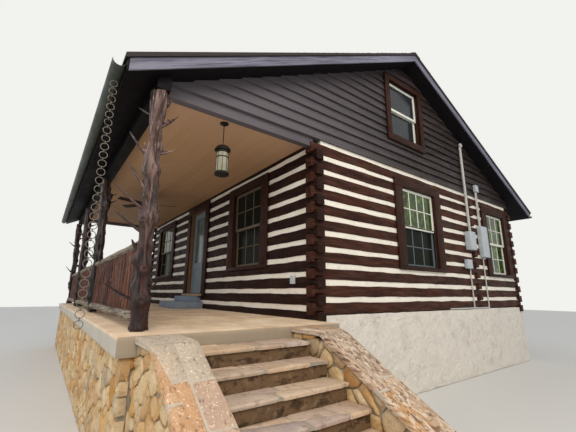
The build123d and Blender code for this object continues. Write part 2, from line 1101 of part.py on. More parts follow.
# Gutters on both eaves, the front one with a rain chain at its near end
with BuildPart() as gutters:
    for y, side in ((eave_y - fascia_thickness, -1), (rear_eave_y + fascia_thickness, 1)):
        centre = (y + side * gutter_radius, eave_under + gutter_radius + gutter_lift)
        with BuildSketch(Plane.YZ.offset(roof_far - rake_thickness)):
            with Locations(centre):
                RegularPolygon(gutter_radius, gutter_sides)
                RegularPolygon(gutter_radius - gutter_wall, gutter_sides, mode=Mode.SUBTRACT)
            with Locations((centre[0], centre[1] + gutter_radius)):
                Rectangle(4 * gutter_radius, 2 * gutter_radius, mode=Mode.SUBTRACT)
        extrude(amount=roof_near - roof_far + 2 * rake_thickness)
save(gutters.part, "gutters")

chain_y = eave_y - fascia_thickness - gutter_radius
chain_top = eave_under + gutter_lift - chain_play


with BuildPart() as rain_chain:
    outlet = Plane(origin=(chain_x, chain_y, chain_top - chain_outlet_length))
    turned(outlet, [(0, chain_outlet_radius), (chain_outlet_length, chain_outlet_radius)], rail_sides)
    first = chain_top - chain_outlet_length - chain_play - chain_ring_wire - chain_ring
    step = 2 * (chain_ring + chain_loop - chain_play)
    ring_zs = [first - i * step for i in range(chain_ring_count)]
    loop_zs = [z - step / 2 for z in ring_zs[:-1]]
    for across, size, wire, sides, heights in (
        ((1, 0, 0), chain_ring, chain_ring_wire, chain_ring_sides, ring_zs),
        ((0, 1, 0), chain_loop, chain_loop_wire, chain_loop_sides, loop_zs),
    ):
        base = Plane(origin=(chain_x, chain_y, 0), x_dir=(0, 0, 1), z_dir=across)
        with BuildSketch(base) as outline:
            with Locations(*[(z, 0) for z in heights]):
                RegularPolygon(size + wire, sides, major_radius=False, rotation=180 / sides)
                RegularPolygon(size, sides, major_radius=False, rotation=180 / sides, mode=Mode.SUBTRACT)
        extrude(outline.sketch, amount=wire / 2, both=True)
save(rain_chain.part, "rain_chain")

# Lantern under the ceiling
lantern_cap_under = lantern_top - lantern_cap_height
lantern_base_top = lantern_bottom + lantern_base_height
lantern_axis = Plane(origin=(lantern_x, porch_fitting_y, 0))

with BuildPart() as lantern_frame:
    turned(
        lantern_axis,
        [(ceiling_under - canopy_height, canopy_radius), (ceiling_under, canopy_radius)],
        turned_sides,
    )
    turned(lantern_axis, [(lantern_top - lantern_rim, rod_radius), (ceiling_under, rod_radius)], limb_sides)
    cap_rings = [
        (lantern_cap_under, lantern_radius),
        (lantern_cap_under + lantern_rim, lantern_radius),
        (lantern_top - lantern_rim, lantern_radius / 2),
        (lantern_top, 2 * rod_radius),
    ]
    turned(lantern_axis, cap_rings, turned_sides)
    base_rings = [
        (lantern_bottom, lantern_glass_radius),
        (lantern_bottom + lantern_rim / 2, lantern_base_radius),
        (lantern_base_top, lantern_base_radius),
    ]
    turned(lantern_axis, base_rings, turned_sides)
    bar_height = lantern_cap_under - lantern_base_top
    with Locations((lantern_x, porch_fitting_y, (lantern_cap_under + lantern_base_top) / 2)):
        with PolarLocations(lantern_bar_place, lantern_bar_count):
            Box(lantern_bar, lantern_bar, bar_height)
    with BuildSketch(lantern_axis.offset(lantern_cap_under - lantern_band_drop)) as band:
        RegularPolygon(lantern_bar_place + lantern_bar, turned_sides)
        RegularPolygon(lantern_bar_place, turned_sides, mode=Mode.SUBTRACT)
    extrude(band.sketch, amount=lantern_band_height)
save(lantern_frame.part, "lantern_frame")

with BuildPart() as lantern_glass:
    turned(
        lantern_axis,
        [(lantern_base_top, lantern_glass_radius), (lantern_cap_under, lantern_glass_radius)],
        turned_sides,
    )
save(lantern_glass.part, "lantern_glass")

# Ceiling fan
fan_x = -house_length / 2
motor_top = ceiling_under - fan_drop
motor_under = motor_top - fan_motor_height

fan_axis = Plane(origin=(fan_x, porch_fitting_y, 0))

with BuildPart() as fan_motor:
    turned(
        fan_axis,
        [(ceiling_under - canopy_height, canopy_radius), (ceiling_under, canopy_radius)],
        turned_sides,
    )
    turned(fan_axis, [(motor_top, 2 * rod_radius), (ceiling_under, 2 * rod_radius)], limb_sides)
    motor_rings = [
        (motor_under, fan_hub_radius),
        (motor_under + canopy_height, fan_motor_radius),
        (motor_top - canopy_height, fan_motor_radius),
        (motor_top, canopy_radius),
    ]
    turned(fan_axis, motor_rings, turned_sides)
save(fan_motor.part, "fan_motor")

with BuildPart() as fan_blades:
    blade_length = fan_radius - fan_hub_radius / 2
    hub_z = motor_under - fan_gap - fan_hub_height / 2
    hub_low = hub_z - fan_hub_height / 2
    turned(fan_axis, [(hub_low, fan_hub_radius), (hub_low + fan_hub_height, fan_hub_radius)], turned_sides)
    with Locations((fan_x, porch_fitting_y, hub_z)):
        with PolarLocations(fan_radius - blade_length / 2, fan_blade_count):
            with Locations(Location((0, 0, 0), (fan_blade_tilt, 0, 0))):
                Box(blade_length, fan_blade_width, fan_blade_thickness)
save(fan_blades.part, "fan_blades")

# Electrical boxes and conduit on the near gable wall
with BuildPart() as electrical_boxes:
    for y_low, y_high, z_low, z_high, depth in (meter_box, panel_box, drop_box):
        wall_block(near_wall, y_low, y_high, half_log, half_log + depth, z_low, z_high)
    y_low, y_high, z_low, z_high, depth = upper_box
    face = half_log + siding_proud
    wall_block(near_wall, y_low, y_high, face, face + depth, z_low, z_high)
    x_low, x_high, z_low, z_high, depth = outlet_box
    wall_block(porch_wall, x_low, x_high, half_log, half_log + depth, z_low, z_high)
save(electrical_boxes.part, "electrical_boxes")


def upright(x, y, radius, z_low, z_high):
    turned(Plane(origin=(x, y, z_low)), [(0, radius), (z_high - z_low, radius)], turned_sides)


mast_x = half_log + siding_proud + mast_radius
conduit_x = half_log + siding_proud + conduit_radius
sill_run_x = half_log + conduit_radius
sill_run_z = gable_sill + conduit_radius + conduit_play

with BuildPart() as service_conduits:
    upright(mast_x, mast_y, mast_radius, meter_box[3], mast_top - mast_hood_height)
    hood_rings = [
        (mast_top - mast_hood_height, mast_radius),
        (mast_top - mast_hood_height + mast_radius, mast_hood_radius),
        (mast_top, mast_radius),
    ]
    hood_x = mast_x + mast_hood_radius - mast_radius
    turned(Plane(origin=(hood_x, mast_y, 0)), hood_rings, turned_sides)
    for y in panel_riser_ys:
        upright(conduit_x, y, conduit_radius, panel_box[3], upper_box[2])
    upright(sill_run_x, panel_drop_y, conduit_radius, sill_run_z, panel_box[2])
    upright(sill_run_x, meter_drop_y, conduit_radius, sill_run_z, drop_box[2])
    sill_run = Plane(origin=(sill_run_x, sill_run_end_y, sill_run_z), z_dir=(0, 1, 0))
    reach = panel_drop_y + conduit_radius - sill_run_end_y
    turned(sill_run, [(0, conduit_radius), (reach, conduit_radius)], turned_sides)
save(service_conduits.part, "service_conduits")
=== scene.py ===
import math
import random

import bmesh
import bpy
from mathutils import Matrix, Vector, noise


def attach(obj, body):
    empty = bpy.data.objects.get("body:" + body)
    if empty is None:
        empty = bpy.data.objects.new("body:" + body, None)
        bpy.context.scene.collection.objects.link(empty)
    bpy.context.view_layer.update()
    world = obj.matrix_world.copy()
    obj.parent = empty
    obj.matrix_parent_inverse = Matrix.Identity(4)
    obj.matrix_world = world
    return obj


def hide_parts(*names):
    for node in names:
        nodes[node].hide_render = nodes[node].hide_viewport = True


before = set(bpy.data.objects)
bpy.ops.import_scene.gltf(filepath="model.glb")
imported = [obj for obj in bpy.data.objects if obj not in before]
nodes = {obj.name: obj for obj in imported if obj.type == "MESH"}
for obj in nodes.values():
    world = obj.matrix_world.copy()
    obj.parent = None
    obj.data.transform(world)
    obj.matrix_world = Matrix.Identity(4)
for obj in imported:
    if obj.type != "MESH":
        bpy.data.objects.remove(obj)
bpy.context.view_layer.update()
alongX, alongY, upAxis = axes = [Vector(axis) for axis in ((1, 0, 0), (0, 1, 0), (0, 0, 1))]

# Shapes taken from the solids of the frame

mergeGap = 0.00002
flatAngle, sharpAngle, smoothAngle = (math.radians(degrees) for degrees in (1, 25, 50))


def addObject(name, data):
    item = bpy.data.objects.new(name, data)
    bpy.context.scene.collection.objects.link(item)
    return item


def looseSolid(group):
    solid = bmesh.new()
    made = {vert.index: solid.verts.new(vert.co) for vert in group}
    faces = {face.index: face for vert in group for face in vert.link_faces}
    for index in sorted(faces):
        solid.faces.new([made[vert.index] for vert in faces[index].verts])
    bmesh.ops.dissolve_limit(solid, angle_limit=flatAngle, verts=solid.verts, edges=solid.edges)
    solid.normal_update()
    return solid


def solidsOf(nodeName):
    whole = bmesh.new()
    whole.from_mesh(nodes[nodeName].data)
    bmesh.ops.remove_doubles(whole, verts=whole.verts, dist=mergeGap)
    whole.verts.index_update()
    whole.faces.index_update()
    seen = set()
    solids = []
    for start in whole.verts:
        if start.index in seen:
            continue
        seen.add(start.index)
        group, waiting = [], [start]
        while waiting:
            vert = waiting.pop()
            group.append(vert)
            for edge in vert.link_edges:
                other = edge.other_vert(vert)
                if other.index not in seen:
                    seen.add(other.index)
                    waiting.append(other)
        solids.append(looseSolid(group))
    whole.free()
    return solids


def spread(solid, axis):
    spots = [vert.co[axis] for vert in solid.verts]
    return min(spots), max(spots)


def middleOf(solid):
    return [sum(spread(solid, axis)) / 2 for axis in range(3)]


def cutAt(solid, axis, place, keep=None):
    geometry = solid.verts[:] + solid.edges[:] + solid.faces[:]
    bmesh.ops.bisect_plane(
        solid, geom=geometry, plane_co=axes[axis] * place, plane_no=axes[axis],
        clear_outer=keep == "below", clear_inner=keep == "above",
    )
    if keep:
        openEdges = [edge for edge in solid.edges if edge.is_boundary]
        bmesh.ops.holes_fill(solid, edges=openEdges, sides=0)
        solid.normal_update()


def gridCut(solid, cells):
    for axis, cell in enumerate(cells):
        if cell:
            low, high = spread(solid, axis)
            count = int((high - low) / cell)
            for step in range(count):
                cutAt(solid, axis, low + (step + 1) * (high - low) / (count + 1))


def easeEdges(solid, width, segments=2):
    sharp = [
        edge for edge in solid.edges
        if len(edge.link_faces) == 2
        and edge.calc_face_angle(0) > sharpAngle
        and edge.calc_length() > width * 3
    ]
    bmesh.ops.bevel(
        solid, geom=sharp, offset=width, segments=segments, profile=0.55,
        affect="EDGES", clamp_overlap=True,
    )


def roughen(solid, depth, size, seed):
    solid.normal_update()
    shift = Vector((seed * 7.3, seed * 3.1, seed * 5.7))
    moves = []
    for vert in solid.verts:
        where = Vector((vert.co[i] / size[i] for i in range(3))) + shift
        moves.append(vert.normal * (noise.noise(where) - 0.6) * 0.6 * depth)  # nearly all of it inwards
    for vert, move in zip(solid.verts, moves):
        vert.co += move


def swell(solid, depth):
    low, high = spread(solid, 2)
    for vert in solid.verts:
        vert.co.z += depth if vert.co.z > (low + high) / 2 else -depth


def waver(solid, depth, seed):
    low, high = spread(solid, 2)
    middle, half = (low + high) / 2, (high - low) / 2
    for vert in solid.verts:
        share = (vert.co.z - middle) / half
        if abs(share) > 0.75:  # only the upper and lower edges of a log
            side = 1 if share > 0 else -1
            run = noise.noise(Vector((vert.co.x * 2.6 + seed, vert.co.y * 2.6, side * 3.7)))
            run += 0.5 * noise.noise(Vector((vert.co.x * 8 + seed, vert.co.y * 8, side * 9.1)))
            vert.co.z -= side * depth * min(1, max(-0.8, 0.35 + 1.1 * run))


def longWay(solid):
    edge = max(solid.edges, key=lambda e: e.calc_length())
    return (edge.verts[1].co - edge.verts[0].co).normalized()


def sidesOf(along):
    side = (upAxis if abs(along.z) < 0.9 else alongY).cross(along).normalized()
    return side, along.cross(side)


# A part is a dictionary of points, faces, a shade of its own and the way its grain runs

def partOf(solid, shade=0.5, along=None):
    solid.verts.index_update()
    part = {
        "points": [vert.co.copy() for vert in solid.verts],
        "faces": [[vert.index for vert in face.verts] for face in solid.faces],
        "shade": shade,
        "along": along or longWay(solid),
    }
    solid.free()
    return part


def assemble(name, parts, material, body="house", smooth=True):
    points, faces, shades, grains = [], [], [], []
    for number, part in enumerate(parts):
        start = len(points)
        along = part["along"]
        side, rise = sidesOf(along)
        for point in part["points"]:
            point.z = max(0, point.z)  # nothing reaches below the ground
            points.append(point)
            grains += [point.dot(along) + number * 1.37, point.dot(side), point.dot(rise)]
        faces += [[index + start for index in face] for face in part["faces"]]
        shades += [part["shade"]] * len(part["faces"])
    mesh = bpy.data.meshes.new(name)
    mesh.from_pydata(points, [], faces)
    mesh.attributes.new("shade", "FLOAT", "FACE").data.foreach_set("value", shades)
    mesh.attributes.new("grain", "FLOAT_VECTOR", "POINT").data.foreach_set("vector", grains)
    mesh.polygons.foreach_set("use_smooth", [smooth] * len(faces))
    if smooth:
        mesh.set_sharp_from_angle(angle=smoothAngle)
    mesh.materials.append(material)
    piece = addObject(name, mesh)
    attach(piece, body)
    return piece


def standFor(piece, nodeName):
    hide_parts(nodeName)


def worked(nodeName, material, look):
    dice = random.Random(nodeName)
    parts = []
    for solid in solidsOf(nodeName):
        along = look.get("along") or longWay(solid)
        if look.get("edge"):
            easeEdges(solid, look["edge"])
        gridCut(solid, look["cells"])
        if look.get("swell"):
            swell(solid, look["swell"])
        if look.get("waver"):
            waver(solid, look["waver"], dice.random() * 40)
        roughen(solid, look["depth"], look["size"], dice.random() * 9)
        parts.append(partOf(solid, dice.random(), along))
    standFor(assemble(nodeName + "_worked", parts, material), nodeName)


# Finishes: colours are written as six hexadecimal digits

def tint(code):
    channels = [int(code[i:i + 2], 16) / 255 for i in (0, 2, 4)]
    return [c / 12.92 if c <= 0.04045 else ((c + 0.055) / 1.055) ** 2.4 for c in channels] + [1]


def addNode(tree, kind, inputs=None, **settings):
    node = tree.nodes.new(kind)
    for key, value in settings.items():
        setattr(node, key, value)
    for key, value in (inputs or {}).items():
        if isinstance(value, bpy.types.NodeSocket):
            tree.links.new(value, node.inputs[key])
        else:
            node.inputs[key].default_value = value
    return node


def rampOf(tree, factor, codes, spots=None):
    ramp = addNode(tree, "ShaderNodeValToRGB", {0: factor})
    band = ramp.color_ramp
    spots = spots or [i / (len(codes) - 1) for i in range(len(codes))]
    while len(band.elements) < len(codes):
        band.elements.new(1)
    for element, code, spot in zip(band.elements, codes, spots):
        element.position = spot
        element.color = tint(code)
    return ramp.outputs[0]


def mixed(tree, factor, first, second, blend="MIX"):
    inputs = {0: factor, 6: first, 7: second}
    return addNode(tree, "ShaderNodeMix", inputs, data_type="RGBA", blend_type=blend).outputs[2]


def rangeOf(tree, value, *limits):
    keys = ("From Min", "From Max", "To Min", "To Max")
    return addNode(tree, "ShaderNodeMapRange", {"Value": value, **dict(zip(keys, limits))}).outputs[0]


def noiseOn(tree, source, scale, stretch, detail=5, distortion=0):
    mapping = addNode(tree, "ShaderNodeMapping", {"Vector": source, "Scale": stretch})
    return addNode(tree, "ShaderNodeTexNoise", {
        "Vector": mapping.outputs[0], "Scale": scale, "Detail": detail, "Roughness": 0.6,
        "Distortion": distortion,
    }).outputs["Fac"]


def finish(name, look):
    material = bpy.data.materials.new(name)
    material.use_nodes = True
    tree = material.node_tree
    shader = tree.nodes["Principled BSDF"]
    for key, value in {"Specular IOR Level": 0.16, **look.get("shader", {})}.items():
        shader.inputs[key].default_value = value
    onObject = addNode(tree, "ShaderNodeTexCoord").outputs["Object"]
    onGrain = addNode(tree, "ShaderNodeAttribute", attribute_name="grain").outputs["Vector"]
    source = onGrain if look.get("grain") else onObject
    wholeStretch = look.get("patchStretch", evenly)

    # Own tone of each part, or one field of soft patches
    if look.get("patch"):
        tone = noiseOn(tree, source, look["patch"], wholeStretch)
    else:
        tone = addNode(tree, "ShaderNodeAttribute", attribute_name="shade").outputs["Fac"]
    colour = rampOf(tree, tone, look["tones"].split())

    # Veins, streaks and specks laid over it, then slow changes along one axis
    for scale, stretch, spots, code, amount, *twist in look.get("layers", []):
        mask = rampOf(tree, noiseOn(tree, source, scale, stretch, 5, *twist), ["000000", "ffffff"], spots)
        share = addNode(tree, "ShaderNodeMath", {0: mask, 1: amount}, operation="MULTIPLY").outputs[0]
        colour = mixed(tree, share, colour, tint(code))
    for axis, (start, end), code, amount, *blend in look.get("fades", []):
        spot = addNode(tree, "ShaderNodeSeparateXYZ", {0: onObject})
        share = rangeOf(tree, spot.outputs[axis], start, end, 0, amount)
        colour = mixed(tree, share, colour, tint(code), *blend)
    tree.links.new(colour, shader.inputs["Base Color"])

    # Roughness and relief
    rough = rangeOf(tree, noiseOn(tree, source, 6, wholeStretch), 0.3, 0.7, *look["rough"])
    tree.links.new(rough, shader.inputs["Roughness"])
    normal = None
    for scale, stretch, depth, *twist in look.get("relief", []):
        height = noiseOn(tree, source, scale, stretch, 4, *twist)
        inputs = {"Strength": 0.6, "Distance": depth, "Height": height}
        if normal:
            inputs["Normal"] = normal
        normal = addNode(tree, "ShaderNodeBump", inputs).outputs["Normal"]
    if normal:
        tree.links.new(normal, shader.inputs["Normal"])
    return material


# A layer is (scale, stretch, spots, colour, amount, distortion), a relief (scale, stretch, depth, distortion)
# and a fade (axis, reach, colour, amount, blend); patch is the scale of the patches of tone

evenly, fineGrain, softGrain, closeGrain = (1, 1, 1), (0.2, 6, 6), (0.3, 4, 4), (0.3, 5, 5)
logLook = {
    "tones": "2f140c 37190d 2a140c 3e1e12 33190f", "grain": True, "rough": (0.5, 0.75),
    "layers": [
        (5, (0.5, 4, 4), (0.42, 0.7), "5b3b2c", 0.75), (14, (0.25, 6, 6), (0.5, 0.62), "170904", 0.7),
        (1.3, evenly, (0.45, 0.75), "512514", 0.5),
    ],
    "relief": [(6, (0.6, 3, 3), 0.014, 0.5), (30, fineGrain, 0.004)],
}
logWood = finish("hewnLogStain", logLook)
# A darker copy of the log stain for the porch wall: painted shade, multiplied in towards y 0
logInPaintedShade = finish("logStainInPaintedShade", {
    **logLook, "fades": [(1, (0.3, 0), "a89c92", 1, "MULTIPLY")],
})
mortarCream = finish("creamMortar", {
    "tones": "e6ddcb f4eee0 d9cdb8", "patch": 2.2, "rough": (0.8, 0.95),
    "layers": [(7, evenly, (0.55, 0.8), "b8a88f", 0.45), (60, evenly, (0.6, 0.75), "9c8a72", 0.3)],
    "relief": [(22, evenly, 0.003), (140, evenly, 0.001)],
})
sidingWithPaintedSheen = finish("darkSidingStainPaintedSheen", {
    "tones": "2f2827 3a3230 272120 42383a 322b29", "grain": True, "rough": (0.4, 0.6),
    "layers": [
        (4, (0.5, 5, 5), (0.45, 0.7), "564c4a", 0.7), (12, (0.2, 7, 7), (0.5, 0.62), "141112", 0.75),
    ],
    # The fade lightens the siding towards its -y end: a painted sheen standing for the sky's reflection
    "relief": [(30, fineGrain, 0.0015)], "fades": [(1, (2.6, -1.2), "7f7a80", 0.55)],
})
trimWood = finish("redBrownTrim", {
    "tones": "2d150c 34190e 271109", "grain": True, "rough": (0.5, 0.7),
    "layers": [(6, (0.4, 6, 6), (0.45, 0.7), "4a2c1e", 0.6), (18, (0.2, 7, 7), (0.5, 0.62), "160804", 0.6)],
    "relief": [(30, fineGrain, 0.0015)],
})
rakeWood = finish("weatheredRake", {
    "tones": "6a6979 71707e 615f6e", "grain": True, "rough": (0.5, 0.7),
    "layers": [(3, closeGrain, (0.4, 0.75), "9fa0b0", 0.7), (10, fineGrain, (0.52, 0.62), "33313e", 0.6)],
    "relief": [(30, fineGrain, 0.001)],
})
# Near black: painted shade on the soffit, the fascia boards, the porch beam and the roof undersides
soffitInPaintedShade = finish("soffitPaintedShade", {
    "tones": "09060a 0b080d 080508", "grain": True, "rough": (0.55, 0.75),
    "layers": [(8, closeGrain, (0.45, 0.7), "140f14", 0.5)], "relief": [(25, (0.2, 5, 5), 0.001)],
})
ceilingPaintWithPaintedLight = finish("tanCeilingPaint", {
    "tones": "c09b77 bc9774 c39e7a be9976", "grain": True, "rough": (0.55, 0.7),
    "layers": [(5, softGrain, (0.45, 0.75), "caa883", 0.3)], "relief": [(30, softGrain, 0.0008)],
    # The fades are painted light and shade: lighter towards the open end at x 0, darker deeper under the
    # porch roof
    "fades": [(0, (-1.2, 0), "d0ae94", 0.55), (0, (-2.5, -7), "9b744b", 0.6)],
})
deckWood = finish("plainDeckBoards", {
    "tones": "8a6a4a 7d5f42 967453", "grain": True, "rough": (0.5, 0.7),
    "layers": [(12, fineGrain, (0.48, 0.62), "5b422c", 0.6)], "relief": [(30, fineGrain, 0.001)],
})
cedarLook = {
    "tones": "4e362e 5b3e36 422c26", "grain": True, "rough": (0.35, 0.65),
    "layers": [
        (3, (0.5, 3, 3), (0.46, 0.62), "9b8077", 0.8), (6, softGrain, (0.5, 0.58), "190c09", 0.9, 0.8),
        (18, (0.35, 3, 3), (0.57, 0.63), "bfa89f", 0.4),
    ],
    "relief": [(6, (0.35, 4, 4), 0.04, 0.8), (24, closeGrain, 0.01)],
    "fades": [(2, (3.1, 1.7), "783c28", 1, "MULTIPLY")], "shader": {"Specular IOR Level": 0.5},
}
barkWood = finish("peeledCedar", cedarLook)
# A darker copy of the cedar for the posts under the porch roof: painted shade
shadedBark = finish("shadedCedar", {
    **cedarLook, "tones": "2c1912 38211a 24140f",
    "layers": [
        (3, (0.5, 3, 3), (0.46, 0.62), "5c4138", 0.7), (6, softGrain, (0.5, 0.58), "0f0604", 0.9, 0.8),
        (18, (0.35, 3, 3), (0.57, 0.63), "87695e", 0.4),
    ],
})
picketWood = finish("railingSlabs", {
    "tones": "30130c 592c1b 271008 673a25 3d1e11 4b2618", "grain": True, "rough": (0.6, 0.85),
    "layers": [
        (5, softGrain, (0.5, 0.68), "865f49", 0.55), (9, (0.4, 3, 3), (0.53, 0.61), "120604", 0.85),
        (26, (0.5, 2, 2), (0.6, 0.68), "b08d78", 0.5),
    ],
    "relief": [(9, (0.4, 3, 3), 0.012)],
})
railWood = finish("greyRailLogs", {
    "tones": "6f6254 7b6e60", "grain": True, "rough": (0.7, 0.9),
    "layers": [(5, softGrain, (0.42, 0.7), "a99f8f", 0.8), (14, (0.25, 4, 4), (0.52, 0.6), "2a211b", 0.85)],
    "relief": [(9, softGrain, 0.01)],
})
fieldStone = finish("fieldStone", {
    "tones": "d4b98d c49f67 dcc79f b58345 c6b08b cd9a55 a49175 d7bc92 bba47f c18743", "rough": (0.75, 0.92),
    "layers": [
        (5, evenly, (0.45, 0.75), "ead6b3", 0.6), (9, (1, 1, 2.5), (0.55, 0.68), "87673c", 0.55),
        (45, evenly, (0.55, 0.7), "7a6345", 0.4),
    ],
    "relief": [(14, evenly, 0.012), (60, evenly, 0.004)],
})
stoneMortar = finish("stoneMortar", {
    "tones": "8f8778 a59c8b 7c7568", "patch": 6, "rough": (0.85, 0.95),
    "layers": [(50, evenly, (0.55, 0.7), "5d574c", 0.5)], "relief": [(40, evenly, 0.004)],
})
capMortar = finish("paleCapMortar", {
    "tones": "b5a793 c4b7a4 a19481", "patch": 6, "rough": (0.85, 0.95),
    "layers": [(50, evenly, (0.55, 0.7), "7c7162", 0.4)], "relief": [(40, evenly, 0.004)],
})
capStone = finish("capFlags", {
    "tones": "b9ab97 c69a72 b1958a c1a585 9b857c cc9b6c b29c87 bba182", "rough": (0.7, 0.9),
    "layers": [
        (5, evenly, (0.5, 0.7), "d6b896", 0.5), (58, evenly, (0.57, 0.63), "f5dbc1", 0.7),
        (16, (1, 3, 3), (0.56, 0.66), "724e37", 0.6),
    ],
    "relief": [(28, evenly, 0.01), (8, evenly, 0.01)],
})
streakStone = finish("streakedCapSlabs", {
    "tones": "c2976b b79b81 c0a17e ad9782", "rough": (0.65, 0.85),
    "layers": [
        (3.5, (0.5, 4, 4), (0.5, 0.56), "dfccb6", 0.75, 2),
        (4.5, (0.4, 5, 5), (0.54, 0.58), "624632", 0.75, 1.5),
    ],
    "relief": [(3.5, (0.5, 4, 4), 0.02, 2)],
})
treadStone = finish("treadFlags", {
    "tones": "cdb08f bea38a a49797 d6bb99 aa9687 c6a687", "rough": (0.65, 0.88),
    "layers": [
        (4, evenly, (0.45, 0.72), "e4cfb4", 0.55), (11, evenly, (0.55, 0.68), "826952", 0.5),
        (50, evenly, (0.58, 0.7), "635040", 0.4),
    ],
    "relief": [(9, evenly, 0.02), (40, evenly, 0.006)],
})
# Dark tones: painted shade on the step risers
riserStone = finish("shadedRisers", {
    "tones": "624b36 725a42 4e3d2e", "patch": 4, "patchStretch": (1, 1, 0.4), "rough": (0.8, 0.95),
    "layers": [
        (20, evenly, (0.55, 0.7), "372a1e", 0.6), (7, (1, 1, 2.5), (0.52, 0.6), "2d2219", 0.7),
        (11, evenly, (0.56, 0.66), "8f7a62", 0.5),
    ],
    "relief": [(8, evenly, 0.03), (25, evenly, 0.008)],
})
stucco = finish("roughStucco", {
    "tones": "d3cabf e1dace c5bbac", "patch": 2.5, "rough": (0.85, 0.95),
    "layers": [(6, evenly, (0.55, 0.75), "a59887", 0.5), (26, evenly, (0.6, 0.72), "8a7d6d", 0.35)],
    "relief": [(4, evenly, 0.07, 2.2), (40, evenly, 0.008)],
})
blueConcrete = finish("blueGreyConcrete", {
    "tones": "7c8894 8b98a5 6c7681", "patch": 4, "rough": (0.7, 0.85),
    "layers": [(25, evenly, (0.55, 0.7), "55606b", 0.4)], "relief": [(50, evenly, 0.002)],
})
shingleGrit = finish("shingleGrit", {
    "tones": "2f2b2c 3a3536 282526 433d3d 343031", "rough": (0.85, 0.95),
    "layers": [(120, evenly, (0.5, 0.65), "5f5856", 0.5)], "relief": [(200, evenly, 0.001)],
})
gutterPaint = finish("darkGutterPaint", {
    "tones": "3a3f3c 454a46 303432", "patch": 3, "rough": (0.4, 0.6),
    "layers": [(9, evenly, (0.55, 0.7), "6f6a5c", 0.35)], "relief": [(40, evenly, 0.0005)],
})
whitePaint = finish("whiteSashPaint", {
    "tones": "dadbd0 e6e7dc cdcec3", "patch": 5, "rough": (0.4, 0.55),
    "layers": [(30, evenly, (0.6, 0.75), "a5a496", 0.3)], "relief": [(60, evenly, 0.0004)],
})
# Green blotches on the glass: a painted reflection of foliage
glassWithPaintedReflection = finish("windowGlassPaintedReflection", {
    "tones": "131e0b 3e5321 1c2910 58702f", "patch": 3.5, "rough": (0.05, 0.12),
    "layers": [(12, evenly, (0.52, 0.62), "748d41", 0.5)], "shader": {"Specular IOR Level": 0.3},
})
shadedGlass = finish("shadedWindowGlass", {
    "tones": "141612 20231d 181b16 2a2e26", "patch": 2.6, "rough": (0.1, 0.2),
    "shader": {"Specular IOR Level": 0.03},
})
greyGlass = finish("greyWindowGlass", {
    "tones": "1d2024 282b30 22262a 31353a", "patch": 2.2, "rough": (0.12, 0.2),
    "layers": [(9, evenly, (0.6, 0.7), "4f545b", 0.4)], "shader": {"Specular IOR Level": 0.3},
})
# The white sash paint darkened for the porch-wall windows: painted shade
sashPaintInPaintedShade = finish("shadedSashPaint", {
    "tones": "5c5344 675c4c 52493c", "patch": 6, "rough": (0.45, 0.6), "relief": [(60, evenly, 0.0004)],
})
screenedPaint = finish("sashBehindScreen", {
    "tones": "5b6266 666e73 50575b", "patch": 6, "rough": (0.5, 0.65), "relief": [(60, evenly, 0.0004)],
})
screenFrame = finish("screenFramePaint", {
    "tones": "2c2a29 35322f 242221", "patch": 8, "rough": (0.4, 0.55),
})
doorPaint = finish("blueGreyDoorPaint", {
    "tones": "708088 7d8a8f 65727a", "patch": 4, "rough": (0.4, 0.55),
    "layers": [(20, evenly, (0.6, 0.75), "525c64", 0.3)], "relief": [(50, evenly, 0.0004)],
})
doorGlass = finish("doorGlazing", {
    "tones": "59665f 6c7a72 4a564f 7d8a80", "patch": 3, "rough": (0.08, 0.15),
    "shader": {"Specular IOR Level": 0.3},
})
naturalWood = finish("naturalJamb", {
    "tones": "8d6a4b 9b7757 7f5d40", "grain": True, "rough": (0.5, 0.7),
    "layers": [(14, fineGrain, (0.48, 0.62), "57391f", 0.6)], "relief": [(30, fineGrain, 0.001)],
})
lightBoard = finish("lightSillBoard", {
    "tones": "bfa58a b0967b", "grain": True, "rough": (0.6, 0.8),
    "layers": [(12, fineGrain, (0.5, 0.65), "8b7258", 0.6)], "relief": [(30, fineGrain, 0.001)],
})
blackIron = finish("blackIron", {
    "tones": "1d1b1a 2a2725 141312", "patch": 8, "rough": (0.35, 0.55),
    "layers": [(35, evenly, (0.6, 0.72), "4a443e", 0.3)], "relief": [(80, evenly, 0.0004)],
    "shader": {"Metallic": 0.4},
})
chainIron = finish("weatheredChain", {
    "tones": "5d5850 7a7469 48443e", "patch": 14, "rough": (0.35, 0.55), "relief": [(60, evenly, 0.0003)],
    "shader": {"Metallic": 0.6},
})
lampGlass = finish("seededLampGlass", {
    "tones": "817e6a a09c86 6a6857", "patch": 9, "rough": (0.15, 0.3), "relief": [(60, evenly, 0.001)],
    "shader": {"Emission Color": tint("fbf8dc"), "Emission Strength": 0.02},
})
brass = finish("agedBrass", {
    "tones": "8a6a38 a8854a 6f5228", "patch": 12, "rough": (0.3, 0.5), "relief": [(80, evenly, 0.0003)],
    "shader": {"Metallic": 0.9},
})
bladeWood = finish("fanBladeVeneer", {
    "tones": "33241c 3a2a21", "grain": True, "rough": (0.35, 0.5),
    "layers": [(14, fineGrain, (0.5, 0.64), "1c120d", 0.6)], "relief": [(40, fineGrain, 0.0005)],
})
boxPaint = finish("meterBoxPaint", {
    "tones": "acb3b9 b8bfc4 9ea4ab", "patch": 5, "rough": (0.4, 0.6),
    "layers": [(18, evenly, (0.6, 0.75), "7c8286", 0.4)], "relief": [(60, evenly, 0.0004)],
})
pipeWhite = finish("whiteConduit", {
    "tones": "b3b1ab c0beb8 a5a29b", "patch": 6, "rough": (0.4, 0.6),
    "layers": [(20, evenly, (0.55, 0.72), "79756b", 0.4)], "relief": [(60, evenly, 0.0004)],
})
